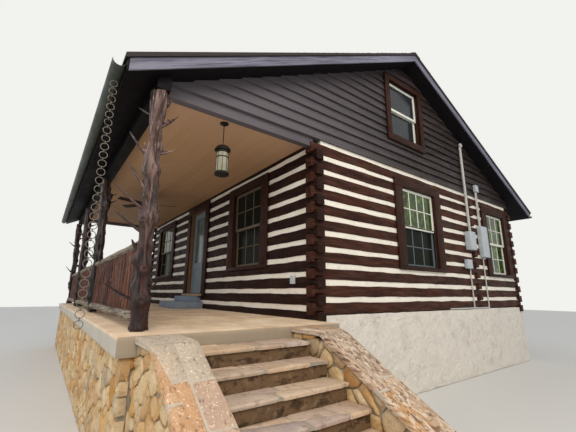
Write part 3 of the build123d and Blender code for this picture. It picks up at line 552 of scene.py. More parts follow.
slabConcrete = finish("porchConcrete", {
    "tones": "e8caac d4b390 f8e0bf dfc4a4", "patch": 1.6, "rough": (0.6, 0.85),
    "layers": [
        (5, (0.6, 2, 1), (0.5, 0.75), "fff2d7", 0.55), (16, evenly, (0.58, 0.72), "a78b6c", 0.4),
        (90, evenly, (0.55, 0.7), "a48f75", 0.3),
    ],
    "relief": [(14, evenly, 0.002), (120, evenly, 0.001)],
    # The first fade greys the slab's edges below its top; the second darkens its end face by the steps as
    # painted shade
    "fades": [(2, (1.19, 1.165), "afafa5", 0.8), (0, (0.518, 0.53), "94846e", 0.8)],
})
print("finishes ready")

# Hewn logs, their mortar, the walls below and the boards round them

hewnAlongX = {
    "cells": (0.13, 0.09, 0.06), "depth": 0.010, "size": (0.45, 0.2, 0.09), "edge": 0.012, "waver": 0.010,
    "along": alongX,
}
hewnAlongY = {**hewnAlongX, "cells": (0.09, 0.13, 0.06), "size": (0.2, 0.45, 0.09), "along": alongY}
mortarLook = {"cells": (0.3, 0.3, None), "depth": 0.006, "size": (0.25, 0.25, 0.1), "swell": 0.013}
stuccoLook = {"cells": (0.16, 0.16, 0.12), "depth": 0.02, "size": (0.2, 0.2, 0.2), "edge": 0.015}
slabLook = {"cells": (0.3, 0.3, 0.06), "depth": 0.004, "size": (0.2, 0.2, 0.2), "edge": 0.014}
boardLook = {"cells": (0.5, 0.5, 0.5), "depth": 0.002, "size": (0.4, 0.4, 0.4), "edge": 0.004}
for material, look, nodeNames in (
    (logInPaintedShade, hewnAlongX, "porch_wall_logs"),
    (logWood, hewnAlongX, "rear_wall_logs"),
    (logWood, hewnAlongY, "near_gable_logs far_gable_logs"),
    (logWood, hewnAlongX, "cross_log_ends"),
    (mortarCream, mortarLook, "chinking"),
    (stucco, stuccoLook, "foundation"),
    (slabConcrete, slabLook, "porch_slab"),
    (trimWood, boardLook, "window_casings window_frames door_casing"),
    (naturalWood, boardLook, "door_frame"),
    (lightBoard, boardLook, "threshold"),
    (rakeWood, boardLook, "front_rake_boards rear_rake_boards"),
    (soffitInPaintedShade, boardLook, "fascia_boards porch_beam"),
    (trimWood, boardLook, "rear_plate"),
    (soffitInPaintedShade, boardLook, "front_roof rear_roof"),
    (blueConcrete, boardLook, "door_step_lower door_step_upper"),
    (shingleGrit, boardLook, "ridge_cap"),
):
    for nodeName in nodeNames.split():
        worked(nodeName, material, look)
print("logs hewn, joints filled and boards cut")


# Strips sliced from one plate: siding courses, ceiling boards and decks

stripGrain = (0.6, 0.6, 0.6)


def stripsOf(solid, axis, pitch):
    low, high = spread(solid, axis)
    count = max(1, round((high - low) / pitch))
    step = (high - low) / count
    strips = []
    for number in range(count):
        strip = solid.copy()
        if number > 0:
            cutAt(strip, axis, low + number * step, "above")
        if number < count - 1:
            cutAt(strip, axis, low + (number + 1) * step, "below")
        strips.append(strip)
    return strips


def lapBack(strip, outward, lap):
    low, high = spread(strip, 2)
    faceX = spread(strip, 0)[1 if outward > 0 else 0]
    for vert in strip.verts:
        if abs(vert.co.x - faceX) < 0.001:
            vert.co.x -= outward * lap * (vert.co.z - low) / (high - low)


def boarded(nodeName, material, look):
    dice = random.Random(nodeName)
    parts = []
    for solid in solidsOf(nodeName):
        for strip in stripsOf(solid, look["axis"], look["pitch"]):
            if look.get("lap"):
                lapBack(strip, look["outward"], look["lap"])
            if look.get("edge"):
                easeEdges(strip, look["edge"], 1)
            gridCut(strip, look["cells"])
            roughen(strip, look["depth"], stripGrain, dice.random() * 9)
            parts.append(partOf(strip, dice.random(), look["along"]))
        solid.free()
    standFor(assemble(nodeName + "_boards", parts, material, smooth=not look.get("flat")), nodeName)


sidingLook = {
    "axis": 2, "pitch": 0.152, "lap": 0.036, "outward": 1, "cells": (None, 0.5, None), "depth": 0.003,
    "along": alongY,
}
ceilingLook = {
    "axis": 1, "pitch": 0.21, "edge": 0.005, "cells": (1.1, None, None), "depth": 0, "flat": True,
    "along": alongX,
}
deckLook = {
    "axis": 1, "pitch": 0.14, "edge": 0.002, "cells": (1.5, None, None), "depth": 0.001, "along": alongX,
}
boarded("near_siding", sidingWithPaintedSheen, sidingLook)
boarded("far_siding", sidingWithPaintedSheen, {**sidingLook, "outward": -1})
boarded("end_headers", sidingWithPaintedSheen, {**sidingLook, "lap": 0.008})
boarded("porch_ceiling", ceilingPaintWithPaintedLight, ceilingLook)
boarded("floor_deck", deckWood, deckLook)
boarded("loft_deck", deckWood, deckLook)
print("boards laid")


# Rubble and flags: each face of a wall is shared out among stones

def clipped(outline, point, away):
    kept = []
    for first, second in zip(outline, outline[1:] + outline[:1]):
        near, far = (first - point).dot(away), (second - point).dot(away)
        if near <= 0:
            kept.append(first)
        if near < 0 < far or far < 0 < near:
            kept.append(first.lerp(second, near / (near - far)))
    return kept


def areaOf(outline):
    return abs(sum(a.x * b.y - b.x * a.y for a, b in zip(outline, outline[1:] + outline[:1]))) / 2


def limitsOf(outline):
    across, up = [p.x for p in outline], [p.y for p in outline]
    return min(across), max(across), min(up), max(up)


def faceFrame(face, along):
    across = along or upAxis.cross(face.normal).normalized()
    across = (across - face.normal * across.dot(face.normal)).normalized()
    rise = face.normal.cross(across)
    origin = face.verts[0].co.copy()
    outline = [Vector(((v.co - origin).dot(across), (v.co - origin).dot(rise))) for v in face.verts]
    return {"origin": origin, "across": across, "rise": rise, "out": face.normal.copy(), "outline": outline}


def seedsOver(outline, look, dice):
    lowU, highU, v, highV = limitsOf(outline)
    seeds = []
    while v < highV:
        rise = dice.uniform(*look["rise"])
        u = lowU - dice.random() * look["run"][0]
        while u < highU:
            run = dice.uniform(*look["run"])
            sway = dice.uniform(-look["sway"], look["sway"])
            seeds.append(Vector((u + run / 2, v + rise * (0.5 + sway))))
            u += run
        v += rise
    return seeds


def rubbleCells(outline, look, dice):
    seeds = seedsOver(outline, look, dice)
    for seed in seeds:
        cell = outline
        for other in seeds:
            if other is not seed and (other - seed).length <= look["reach"] and len(cell) > 2:
                away = (other - seed).normalized()
                cell = clipped(cell, seed.lerp(other, 0.5) - away * look["joint"] / 2, away)
        yield cell


def flagCells(outline, look, dice):
    lowU, highU, lowV, highV = limitsOf(outline)
    half = look["joint"] / 2
    lines = [lowV + (highV - lowV) * i / look["rows"] for i in range(look["rows"] + 1)]
    cells = []
    for low, high in zip(lines, lines[1:]):
        band = clipped(outline, Vector((0, low + half)), Vector((0, -1)))
        band = clipped(band, Vector((0, high - half)), Vector((0, 1)))
        u, lean, middle = lowU, 0.0, (low + high) / 2
        while u < highU and len(band) > 2:
            run = dice.uniform(*look["run"])
            if highU - u - run < look["run"][0] * 0.6:
                run = highU - u
            nextLean = dice.uniform(-0.12, 0.12)
            cell = clipped(band, Vector((u + half, middle)), Vector((-1, lean)))
            cells.append(clipped(cell, Vector((u + run - half, middle)), Vector((1, -nextLean))))
            u, lean = u + run, nextLean
    return cells


def ringFaces(sides, rings):
    faces = []
    for ring in range(rings - 1):
        for i in range(sides):
            a, b = ring * sides + i, ring * sides + (i + 1) % sides
            faces.append([a, b, b + sides, a + sides])
    return faces


def stoneFrom(cell, spot, look, dice):
    corners = []
    for first, second in zip(cell, cell[1:] + cell[:1]):
        if (second - first).length > look["joint"]:
            cut = dice.uniform(*look["cut"])
            corners += [first.lerp(second, cut), first.lerp(second, 1 - cut)]
    if len(corners) < 3 or areaOf(corners) < look["least"]:
        return None
    count = len(corners)
    middle = sum(corners, Vector((0, 0))) / count
    reach = min(1, look["crown"] / max(0.001, areaOf(corners) ** 0.5))
    lean = Vector((dice.uniform(-1, 1), dice.uniform(-1, 1))) * look["lean"]
    rings = (  # how wide, how deep and how rough the stone is at each ring from its back to its crown
        (0.96, look["back"], 0),
        (1, look["back"] * 0.5, 0.5),
        (1, look["lip"], 1),
        (1 - reach * 0.5, look["lip"] * 0.35, 1),
        (1 - reach, look["lip"] * 0.12, 1),
    )

    def sunk(flat, sink):
        return spot["origin"] + spot["across"] * flat.x + spot["rise"] * flat.y - spot["out"] * sink

    points = []
    for shrink, depth, rough in rings:
        for corner in corners:
            tilt = max(0, (corner - middle).dot(lean))
            sink = depth + rough * (look["rough"] * dice.random() + tilt)
            points.append(sunk(middle + (corner - middle) * shrink, sink))
    points.append(sunk(middle, look["rough"] * 0.3))
    last = count * (len(rings) - 1)
    faces = [list(range(count))[::-1]] + ringFaces(count, len(rings))
    faces += [[last + i, last + (i + 1) % count, last + count] for i in range(count)]
    return {"points": points, "faces": faces, "shade": dice.random(), "along": spot["across"]}


def stonesOn(face, chosen, look, dice):
    spot = faceFrame(face, look.get("along"))
    outline = spot["outline"]
    rear = look.get("rear")
    if abs(face.normal.x) > abs(face.normal.y) and not look.get("along"):
        # An end face leaves the corner to the stones of the long face
        for edge in face.edges:
            upright = abs((edge.verts[0].co - edge.verts[1].co).normalized().z) > 0.95
            if upright and all(other in chosen for other in edge.link_faces):
                foot = edge.verts[0].co - spot["origin"]
                foot = Vector((foot.dot(spot["across"]), foot.dot(spot["rise"])))
                middle = sum(outline, Vector((0, 0))) / len(outline)
                away = Vector((1 if foot.x > middle.x else -1, 0))
                outline = clipped(outline, foot - away * (look["back"] + look["joint"]), away)
    if rear and face.calc_center_median().y > rear["from"]:
        look = {**look, **rear["sizes"]}
    if look.get("endSizes") and abs(face.normal.x) > 0.7:
        look = {**look, **look["endSizes"]}
    cells = (flagCells if look.get("rows") else rubbleCells)(outline, look, dice)
    stones = [stoneFrom(cell, spot, look, dice) for cell in cells if len(cell) > 2]
    stones = [stone for stone in stones if stone]
    for stone in stones:
        if rear and stone["points"][0].y < rear["from"]:
            crown = stone["points"][-1]
            outer, inner = next(tones for end, *tones in look["tones"] if crown.x < end)
            stone["shade"] = outer if crown.y < look["split"] else inner
    return stones


def shrunk(solid, depth):
    solid.normal_update()
    moves = [(vert, vert.normal * vert.calc_shell_factor() * depth) for vert in solid.verts]
    for vert, move in moves:
        vert.co -= move


def masonry(nodeName, stoneFinish, bedFinish, look, towards):
    dice = random.Random(nodeName + "stones")
    stones, beds = [], []
    for solid in solidsOf(nodeName):
        solid.normal_update()
        chosen = [
            face for face in solid.faces if towards(face.normal) and face.calc_area() > look["least"] * 2
        ]
        for face in chosen:
            stones += stonesOn(face, chosen, look, dice)
        shrunk(solid, look["bed"])
        beds.append(partOf(solid, along=alongX))
    assemble(nodeName + "_bed", beds, bedFinish, smooth=False)
    rear = look.get("rear")
    if rear:
        slabs = [stone for stone in stones if stone["points"][0].y > rear["from"]]
        stones = [stone for stone in stones if stone["points"][0].y <= rear["from"]]
        assemble(nodeName + "_rear_slabs", slabs, rear["finish"])
    print(nodeName, len(stones), "stones")
    standFor(assemble(nodeName + "_stones", stones, stoneFinish), nodeName)


rubbleLook = {
    "rise": (0.05, 0.095), "run": (0.24, 0.6), "sway": 0.25, "joint": 0.014, "reach": 0.8, "least": 0.0018,
    "back": 0.085, "lip": 0.014, "crown": 0.06, "rough": 0.01, "lean": 0.05, "bed": 0.036, "cut": (0.1, 0.3),
    "endSizes": {"rise": (0.12, 0.2), "run": (0.12, 0.24)},
}
treadLook = {
    "rows": 1, "run": (0.3, 0.62), "joint": 0.01, "least": 0.004, "cut": (0.03, 0.07), "back": 0.036,
    "lip": 0.006, "crown": 0.022, "rough": 0.005, "lean": 0.008, "bed": 0.008, "along": alongY,
}
# A cap before the rear slabs takes the first tones whose x it lies below, for each side of the split in y
capLook = {
    **treadLook, "rows": 2, "run": (0.3, 0.55), "joint": 0.014, "back": 0.056, "along": alongX,
    "tones": ((1.2, 0, 0), (1.95, 0.14, 0.36), (9, 0.57, 0.57)), "split": -2.19,
    "rear": {"from": -1.4, "sizes": {"rows": 1, "run": (0.6, 1.1)}, "finish": streakStone},
}
masonry("stone_base_front", fieldStone, stoneMortar, rubbleLook, lambda n: n.y < -0.7 or abs(n.x) > 0.7)
masonry("stone_base_ends", fieldStone, stoneMortar, rubbleLook, lambda n: abs(n.x) > 0.7)
masonry("cheek_walls", fieldStone, stoneMortar, rubbleLook, lambda n: abs(n.z) < 0.3)
masonry("cheek_caps", capStone, capMortar, capLook, lambda n: n.z > 0.4)
masonry("step_treads", treadStone, stoneMortar, treadLook, lambda n: n.z > 0.7)
coreLook = {"cells": (0.2, 0.14, 0.06), "depth": 0.008, "size": (0.1, 0.1, 0.05)}
worked("step_core", riserStone, coreLook)


# Trunk posts with ridged bark, and railings of round rails and live-edged slabs

def closedRings(points, sides):
    return ringFaces(sides, len(points) // sides) + [
        list(range(sides))[::-1], list(range(len(points) - sides, len(points))),
    ]


def tubeAlong(path, radii, sides, shade=0.5, dice=None, rough=0):
    ahead = (path[-1] - path[0]).normalized()
    side, rise = sidesOf(ahead)
    points = []
    for spot, radius in zip(path, radii):
        for i in range(sides):
            turn = math.tau * i / sides
            reach = radius * (1 - rough * dice.random()) if dice else radius
            points.append(spot + side * math.cos(turn) * reach + rise * math.sin(turn) * reach)
    return {"points": points, "faces": closedRings(points, sides), "shade": shade, "along": ahead}


def remeshed(nodeName, cell):
    copy = addObject("rough", nodes[nodeName].data.copy())
    blocks = copy.modifiers.new("blocks", "REMESH")
    blocks.mode = "VOXEL"
    blocks.voxel_size = cell
    smoother = copy.modifiers.new("soft", "SMOOTH")
    smoother.iterations = 3
    smoother.factor = 0.5
    shape = copy.evaluated_get(bpy.context.evaluated_depsgraph_get())
    solid = bmesh.new()
    solid.from_mesh(shape.to_mesh())
    solid.transform(nodes[nodeName].matrix_world)
    bpy.data.objects.remove(copy)
    return solid


def noiseAt(spot, scales):
    return noise.noise(Vector([value * scale for value, scale in zip(spot, scales)]))


def twigOf(limb, look, low, high, dice):
    share, azimuth, rise, length, radius = limb
    turn, lift = math.radians(azimuth), math.radians(rise)
    start = Vector((look["x"], look["y"], low + share * (high - low)))
    ahead = Vector((math.cos(turn) * math.cos(lift), math.sin(turn) * math.cos(lift), math.sin(lift)))
    side = ahead.cross(upAxis).normalized()
    bend = dice.uniform(-twigLook["bend"], twigLook["bend"])
    path, radii = [], []
    last = twigLook["steps"]
    for step in range(last + 1):
        far = step / last
        wobble = side * (bend * math.sin(far * 3) + dice.uniform(-twigLook["wobble"], twigLook["wobble"]))
        sag = upAxis * twigLook["sag"] * math.sin(far * math.pi)
        path.append(start + ahead * far * length + wobble - sag)
        # Thick at its foot, slimmer along its length and rounded off at its tip
        radii.append(radius * (1.6 - 1.05 * far ** 0.8) * (0.5 if step == last else 1))
    return tubeAlong(path, radii, twigLook["sides"], dice.random(), dice, twigLook["rough"])


def barked(nodeName, look):
    solid = remeshed(nodeName, look["cell"])
    solid.normal_update()
    dice = random.Random(nodeName + "bark")
    shift = Vector((dice.random(), dice.random(), dice.random())) * 9
    low, high = spread(solid, 2)
    foot = [v.co for v in solid.verts if v.co.z < low + 0.3]
    axis = sum(foot, Vector((0, 0, 0))) / len(foot)
    knots = []
    for number in range(look["knots"]):
        turn = dice.random() * math.tau
        height = low + (high - low) * dice.uniform(0.08, 0.95)
        out = look["knotRing"]
        knots.append(Vector((axis.x + math.cos(turn) * out, axis.y + math.sin(turn) * out, height)))
    moves = []
    for vert in solid.verts:
        where = vert.co + shift
        twist = Matrix.Rotation(where.z * look["twist"], 3, "Z") @ (vert.co - axis)
        ridge = 1 - 2.4 * abs(noiseAt((twist.x, twist.y, where.z), look["ridgeScale"]))
        lump, fine = noiseAt(where, look["lumpScale"]), noiseAt(where, look["fineScale"])
        push = look["ridge"] * (ridge - 0.8) + look["lump"] * (lump - 0.25) + look["fine"] * fine
        for knot in knots:
            gap = (vert.co - knot).length / look["knotReach"]
            if gap < 2:
                push += look["knot"] * (1.2 * math.exp(-gap * gap) - 0.9 * math.exp(-gap * gap * 9))
        far = math.hypot(vert.co.x - axis.x, vert.co.y - axis.y)
        # The bark fades out along the branch stubs of the solid
        moves.append(vert.normal * push * min(1, max(0, (look["clear"] - far) / look["fade"])))
    for vert, move in zip(solid.verts, moves):
        vert.co += move
        vert.co.z = min(max(vert.co.z, low), high)
    parts = [partOf(solid, dice.random(), upAxis)]
    parts += [twigOf(limb, look, low, high, dice) for limb in look["limbs"]]
    standFor(assemble(nodeName + "_trunk", parts, look["stain"]), nodeName)


twigLook = {"steps": 7, "sides": 8, "bend": 0.02, "wobble": 0.003, "sag": 0.012, "rough": 0.16}
# A limb is its share of the height, its azimuth and rise in degrees, its length and its radius
cornerLook = {
    "x": 0.157, "y": -2.275, "cell": 0.011, "stain": barkWood, "clear": 0.14, "fade": 0.05, "twist": 0.8,
    "ridge": 0.022, "ridgeScale": (19, 19, 1.9), "lump": 0.045, "lumpScale": (8, 8, 3.4),
    "fine": 0.006, "fineScale": (70, 70, 9), "knot": 0.034, "knots": 26, "knotRing": 0.08, "knotReach": 0.05,
    "limbs": [
        (0.10, -103, 30, 0.345, 0.014), (0.13, 77, 41, 0.18, 0.014), (0.25, -103, 61, 0.25, 0.024),
        (0.36, -103, 37, 0.38, 0.012), (0.45, -103, 39, 0.42, 0.013), (0.53, -115, 53, 0.41, 0.015),
        (0.62, -140, 68, 0.39, 0.016), (0.66, -103, 51, 0.405, 0.013), (0.71, 77, 23, 0.19, 0.014),
        (0.83, 77, 44, 0.26, 0.014), (0.88, -120, 26, 0.24, 0.012), (0.90, 60, 58, 0.215, 0.016),
    ],
}
postLook = {
    **cornerLook, "cell": 0.016, "fine": 0, "stain": shadedBark,
    "limbs": [
        (0.20, 80, 40, 0.25, 0.012), (0.35, -100, 48, 0.33, 0.013), (0.50, 175, 40, 0.26, 0.015),
        (0.68, -115, 38, 0.33, 0.016), (0.80, 80, 25, 0.19, 0.014), (0.86, 70, 15, 0.17, 0.012),
    ],
}
barked("corner_post", cornerLook)
for nodeName, placeX in (("second_post", -3.18), ("third_post", -5.93), ("far_post", -8.467)):
    barked(nodeName, {**postLook, "x": placeX})
print("trunks barked")


def liveSlab(foot, tall, along, width, thick, shade, look, dice):
    out = along.cross(upAxis).normalized()
    shift, turn = dice.random() * 90, dice.uniform(-look["turn"], look["turn"])
    rim = look["rim"]
    points = []
    for step in range(look["steps"] + 1):
        share = step / look["steps"]
        edges = []
        for side in (-1, 1):
            wave = noise.noise(Vector((shift + side * 5, share * 4, 0))) * look["wave"]
            wave += noise.noise(Vector((shift + side * 5, share * 13, 3))) * look["ripple"]
            edges.append(side * (width / 2 - look["inset"] + wave) + turn * (share - 0.5))
        left, right = edges
        section = ((left, rim), (left + rim, 0), (right - rim, 0), (right, rim))
        for depth, row in ((-1, section), (1, section[::-1])):
            for across, inset in row:
                bow = noise.noise(Vector((shift, share * 3, across * 8))) * look["bow"]
                sink = depth * (thick / 2 - inset * 0.8) + bow
                points.append(foot + upAxis * tall * share + along * across + out * sink)
    return {"points": points, "faces": closedRings(points, 8), "shade": shade, "along": upAxis}


def railed(nodeName, look):
    dice = random.Random(nodeName + "rails")
    corners = [vert.co for vert in nodes[nodeName].data.vertices]
    low, high = ([pick(axis) for axis in zip(*corners)] for pick in (min, max))
    spanX, spanY = high[0] - low[0], high[1] - low[1]
    along, length = (alongX, spanX) if spanX > spanY else (alongY, spanY)
    middle = Vector([(a + b) / 2 for a, b in zip(low, high)])
    slabs, rails = [], []
    for height, radius in ((high[2] - look["top"], look["top"]), (low[2] + look["foot"], look["foot"])):
        steps = max(6, int(length / look["step"]))
        shift = dice.random() * 50
        path, radii = [], []
        for step in range(steps + 1):
            share = step / steps
            sway = noise.noise(Vector((shift, share * 4, 0))) * look["sway"]
            path.append(Vector((middle.x, middle.y, height + sway)) + along * (share - 0.5) * length)
            radii.append(radius * (0.94 + 0.10 * noise.noise(Vector((shift + 9, share * length * 3, 0)))))
        rails.append(tubeAlong(path, radii, look["sides"], dice.random(), dice, look["rough"]))
    count = int(length / look["pitch"])
    for number in range(count):
        foot = middle + along * (number - (count - 1) / 2) * look["pitch"]
        foot.z = low[2] + look["foot"]
        width, thick = look["wide"] * dice.uniform(0.86, 1.04), look["thick"] * dice.uniform(0.8, 1)
        tall = high[2] - look["top"] - foot.z
        slabs.append(liveSlab(foot, tall, along, width, thick, dice.random(), look["slab"], dice))
    assemble(nodeName + "_rails", rails, railWood)
    standFor(assemble(nodeName + "_slabs", slabs, picketWood), nodeName)


railLook = {
    "top": 0.045, "foot": 0.055, "sides": 12, "step": 0.14, "sway": 0.012, "rough": 0.1,
    "pitch": 0.165, "wide": 0.156, "thick": 0.036,
    "slab": {
        "steps": 12, "rim": 0.010, "turn": 0.012, "inset": 0.008, "wave": 0.022, "ripple": 0.008,
        "bow": 0.004,
    },
}
for nodeName in ("near_railing", "middle_railing", "far_railing", "end_railing"):
    railed(nodeName, railLook)
print("railings set")


# Geometry Nodes: each tree is built here, fed by name and kept as a plain mesh

def newTree(name, sockets):
    tree = bpy.data.node_groups.new(name, "GeometryNodeTree")
    tree.interface.new_socket("Geometry", in_out="OUTPUT", socket_type="NodeSocketGeometry")
    for key, kind in {"Geometry": "Geometry", **sockets}.items():
        tree.interface.new_socket(key, in_out="INPUT", socket_type="NodeSocket" + kind)
    return tree, tree.nodes.new("NodeGroupInput").outputs


def closeTree(tree, geometry, material):
    real = addNode(tree, "GeometryNodeRealizeInstances", {0: geometry})
    coat = addNode(tree, "GeometryNodeSetMaterial", {0: real.outputs[0], "Material": material})
    addNode(tree, "NodeGroupOutput", {0: coat.outputs[0]})


def stamped(tree, points, instance):
    inputs = {"Points": points, "Instance": instance}
    for key, name in (("Rotation", "turn"), ("Scale", "size")):
        kept = addNode(tree, "GeometryNodeInputNamedAttribute", {"Name": name}, data_type="FLOAT_VECTOR")
        inputs[key] = kept.outputs["Attribute"]
    return addNode(tree, "GeometryNodeInstanceOnPoints", inputs).outputs[0]


def grown(name, tree, spots, values):
    base = bpy.data.meshes.new(name + "Spots")
    base.from_pydata([spot["at"] for spot in spots], [], [])
    for key in ("turn", "size"):
        if key in spots[0]:
            flat = [v for spot in spots for v in spot[key]]
            base.attributes.new(key, "FLOAT_VECTOR", "POINT").data.foreach_set("vector", flat)
    if "shade" in spots[0]:
        shades = [spot["shade"] for spot in spots]
        base.attributes.new("shade", "FLOAT", "POINT").data.foreach_set("value", shades)
    holder = addObject(name + "Spots", base)
    modifier = holder.modifiers.new("grow", "NODES")
    modifier.node_group = tree
    for item in tree.interface.items_tree:
        if item.item_type == "SOCKET" and item.in_out == "INPUT" and item.name in values:
            modifier[item.identifier] = values[item.name]
    holder.update_tag()
    shape = holder.evaluated_get(bpy.context.evaluated_depsgraph_get())
    piece = addObject(name, bpy.data.meshes.new_from_object(shape))
    holder.modifiers.remove(modifier)
    bpy.data.objects.remove(holder)
    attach(piece, "house")
    return piece


# Window bars stand across every log-wall sash, and screen frames over the lower ones

barLook = {"bar": 0.018, "rows": 2}
screenLook = {"bar": 0.022, "out": 0.052, "lap": 0.07}
wallLook = {
    "loft": 4.2, "middle": 2.85, "porchDeep": 0.3, "gableX": -1, "wideY": 4, "penY": 4.4, "farX": -6,
    "centre": (-4, 3),
}
paintOf = {"white": whitePaint, "dull": sashPaintInPaintedShade, "screened": screenedPaint}


def paintAt(spot):
    if spot[2] > wallLook["loft"]:
        return "white"
    # Windows in the porch wall take the sash paint darkened as painted shade
    if abs(spot[1]) < wallLook["porchDeep"]:
        return "dull"
    penWindow = spot[0] > wallLook["gableX"] and spot[1] > wallLook["penY"]
    return "screened" if spot[2] < wallLook["middle"] and not penWindow else "white"


def paneSpots():
    panes = []
    for solid in solidsOf("window_glass"):
        sizes = [high - low for low, high in (spread(solid, axis) for axis in range(3))]
        facing = 0 if sizes[0] < sizes[1] else 1
        turn = (math.pi / 2, 0, 0 if facing else math.pi / 2)
        size = (sizes[1 - facing], sizes[2], 1)
        panes.append({"at": middleOf(solid), "turn": turn, "size": size, "facing": facing})
        solid.free()
    for pane in panes:
        facing = pane["facing"]
        pane["upper"] = any(
            other["facing"] == facing and other["at"][2] < pane["at"][2]
            and abs(other["at"][1 - facing] - pane["at"][1 - facing]) < 0.01
            and abs(other["at"][facing] - pane["at"][facing]) < 0.2
            for other in panes
        )
    return [pane for pane in panes if pane["at"][2] <= wallLook["loft"]]


barTree, given = newTree("windowBars", {
    "Columns": "Int", "Rows": "Int", "Sides": "Int", "Bar": "Float", "Paint": "Material",
})
across, up = (
    addNode(barTree, "ShaderNodeMath", {0: given[key], 1: 1.0}, operation="ADD").outputs[0]
    for key in ("Columns", "Rows")
)
grid = addNode(barTree, "GeometryNodeMeshGrid", {
    "Size X": 1.0, "Size Y": 1.0, "Vertices X": across, "Vertices Y": up,
})
field = stamped(barTree, given["Geometry"], grid.outputs["Mesh"])
net = addNode(barTree, "GeometryNodeRealizeInstances", {0: field})
# Edges of the grid with two faces are bars inside the sash, those with one are its rim
edges = addNode(barTree, "GeometryNodeInputMeshEdgeNeighbors")
inner = addNode(barTree, "FunctionNodeCompare", {
    2: edges.outputs[0], 3: given["Sides"],
}, data_type="INT", operation="EQUAL")
lines = addNode(barTree, "GeometryNodeMeshToCurve", {"Mesh": net.outputs[0], "Selection": inner.outputs[0]})
section = addNode(barTree, "GeometryNodeCurvePrimitiveQuadrilateral", {
    "Width": given["Bar"], "Height": given["Bar"],
})
body = addNode(barTree, "GeometryNodeCurveToMesh", {
    "Curve": lines.outputs[0], "Profile Curve": section.outputs[0], "Fill Caps": True,
})
closeTree(barTree, body.outputs[0], given["Paint"])

panes = paneSpots()
for paint, coat in paintOf.items():
    for columns in (3, 4):
        chosen = []
        for pane in panes:
            x, y, z = pane["at"]
            nearGable = not pane["facing"] and x > wallLook["gableX"] and y < wallLook["wideY"]
            if paintAt(pane["at"]) == paint and columns == (4 if nearGable and pane["upper"] else 3):
                chosen.append(pane)
        if chosen:
            values = {"Columns": columns, "Rows": barLook["rows"], "Sides": 2, "Bar": barLook["bar"]}
            values["Paint"] = coat
            bars = grown("window_bars_" + paint + str(columns), barTree, chosen, values)

screened = []
for pane in panes:
    if paintAt(pane["at"]) == "screened":
        facing, place = pane["facing"], list(pane["at"])
        place[facing] += screenLook["out"] * (1 if place[facing] > wallLook["centre"][facing] else -1)
        wide, tall = pane["size"][:2]
        size = (wide + screenLook["lap"], tall + screenLook["lap"], 1)
        screened.append({"at": place, "turn": pane["turn"], "size": size})
values = {"Columns": 1, "Rows": 1, "Sides": 1, "Bar": screenLook["bar"], "Paint": screenFrame}
grown("window_screen_frames", barTree, screened, values)


def glazed(nodeName, prefix, finishes, groupOf, edge=0):
    groups = {key: [] for key in finishes}
    for solid in solidsOf(nodeName):
        key = groupOf(middleOf(solid))
        if edge:
            easeEdges(solid, edge)
        groups[key].append(partOf(solid))
    pieces = [assemble(prefix + key, groups[key], finishes[key], smooth=edge > 0) for key in finishes]
    standFor(pieces[0], nodeName)
    for piece in pieces[1:]:
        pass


def glassAt(spot):
    if spot[2] > wallLook["loft"]:
        return "grey"
    farUpper = spot[0] < wallLook["farX"] and spot[2] > wallLook["middle"]
    # Panes under white sashes and the far upper panes carry the painted reflection
    return "leafy" if paintAt(spot) == "white" or farUpper else "shaded"


sashLook = {"edge": 0.003}
glazed("window_sashes", "window_sashes_", paintOf, paintAt, sashLook["edge"])
glassOf = {"leafy": glassWithPaintedReflection, "shaded": shadedGlass, "grey": greyGlass}
glazed("window_glass", "window_panes_", glassOf, glassAt)
print("window bars", len(panes), "panes")


# The rain chain: big rings seen face on, small rings turned across them

chainLook = {
    "rings": 28, "pitch": 0.0834, "big": 0.0335, "small": 0.0135, "wire": 0.0034,
    "ringSides": 20, "wireSides": 8, "sway": (0.05, 0.05, 0.3), "place": (0.14, -2.722, 3.5214),
}
chainTree, given = newTree("rainChain", {
    "Rings": "Int", "Pitch": "Float", "Big": "Float", "Small": "Float", "Wire": "Float",
})
wire = addNode(chainTree, "GeometryNodeCurvePrimitiveCircle", {
    "Resolution": chainLook["wireSides"], "Radius": given["Wire"],
})
fall = addNode(chainTree, "ShaderNodeMath", {0: given["Pitch"], 1: -1.0}, operation="MULTIPLY")
step = addNode(chainTree, "ShaderNodeCombineXYZ", {"Z": fall.outputs[0]})
ringSets = []
for key, fewer, turn in (("Big", 0, (math.pi / 2, 0, math.pi / 2)), ("Small", 1, (math.pi / 2, 0, 0))):
    ring = addNode(chainTree, "GeometryNodeCurvePrimitiveCircle", {
        "Resolution": chainLook["ringSides"], "Radius": given[key],
    })
    link = addNode(chainTree, "GeometryNodeCurveToMesh", {
        "Curve": ring.outputs[0], "Profile Curve": wire.outputs[0],
    })
    number = addNode(chainTree, "ShaderNodeMath", {0: given["Rings"], 1: -float(fewer)}, operation="ADD")
    line = addNode(chainTree, "GeometryNodeMeshLine", {"Count": number.outputs[0], "Offset": step.outputs[0]})
    # Inputs 7, 0 and 1 of the random node are its seed and its lower and upper limits
    limits = {7: 4 - fewer, 0: [-limit for limit in chainLook["sway"]], 1: chainLook["sway"]}
    sway = addNode(chainTree, "FunctionNodeRandomValue", limits, data_type="FLOAT_VECTOR")
    aim = addNode(chainTree, "ShaderNodeVectorMath", {0: sway.outputs[0], 1: turn}, operation="ADD")
    placed = addNode(chainTree, "GeometryNodeInstanceOnPoints", {
        "Points": line.outputs[0], "Instance": link.outputs[0], "Rotation": aim.outputs[0],
    })
    x, y, z = chainLook["place"]
    ringSets.append(addNode(chainTree, "GeometryNodeTransform", {
        "Geometry": placed.outputs[0], "Translation": (x, y, z - chainLook["pitch"] / 2 * fewer),
    }))
joined = addNode(chainTree, "GeometryNodeJoinGeometry")
for ringSet in ringSets:
    chainTree.links.new(ringSet.outputs[0], joined.inputs[0])
closeTree(chainTree, joined.outputs[0], chainIron)
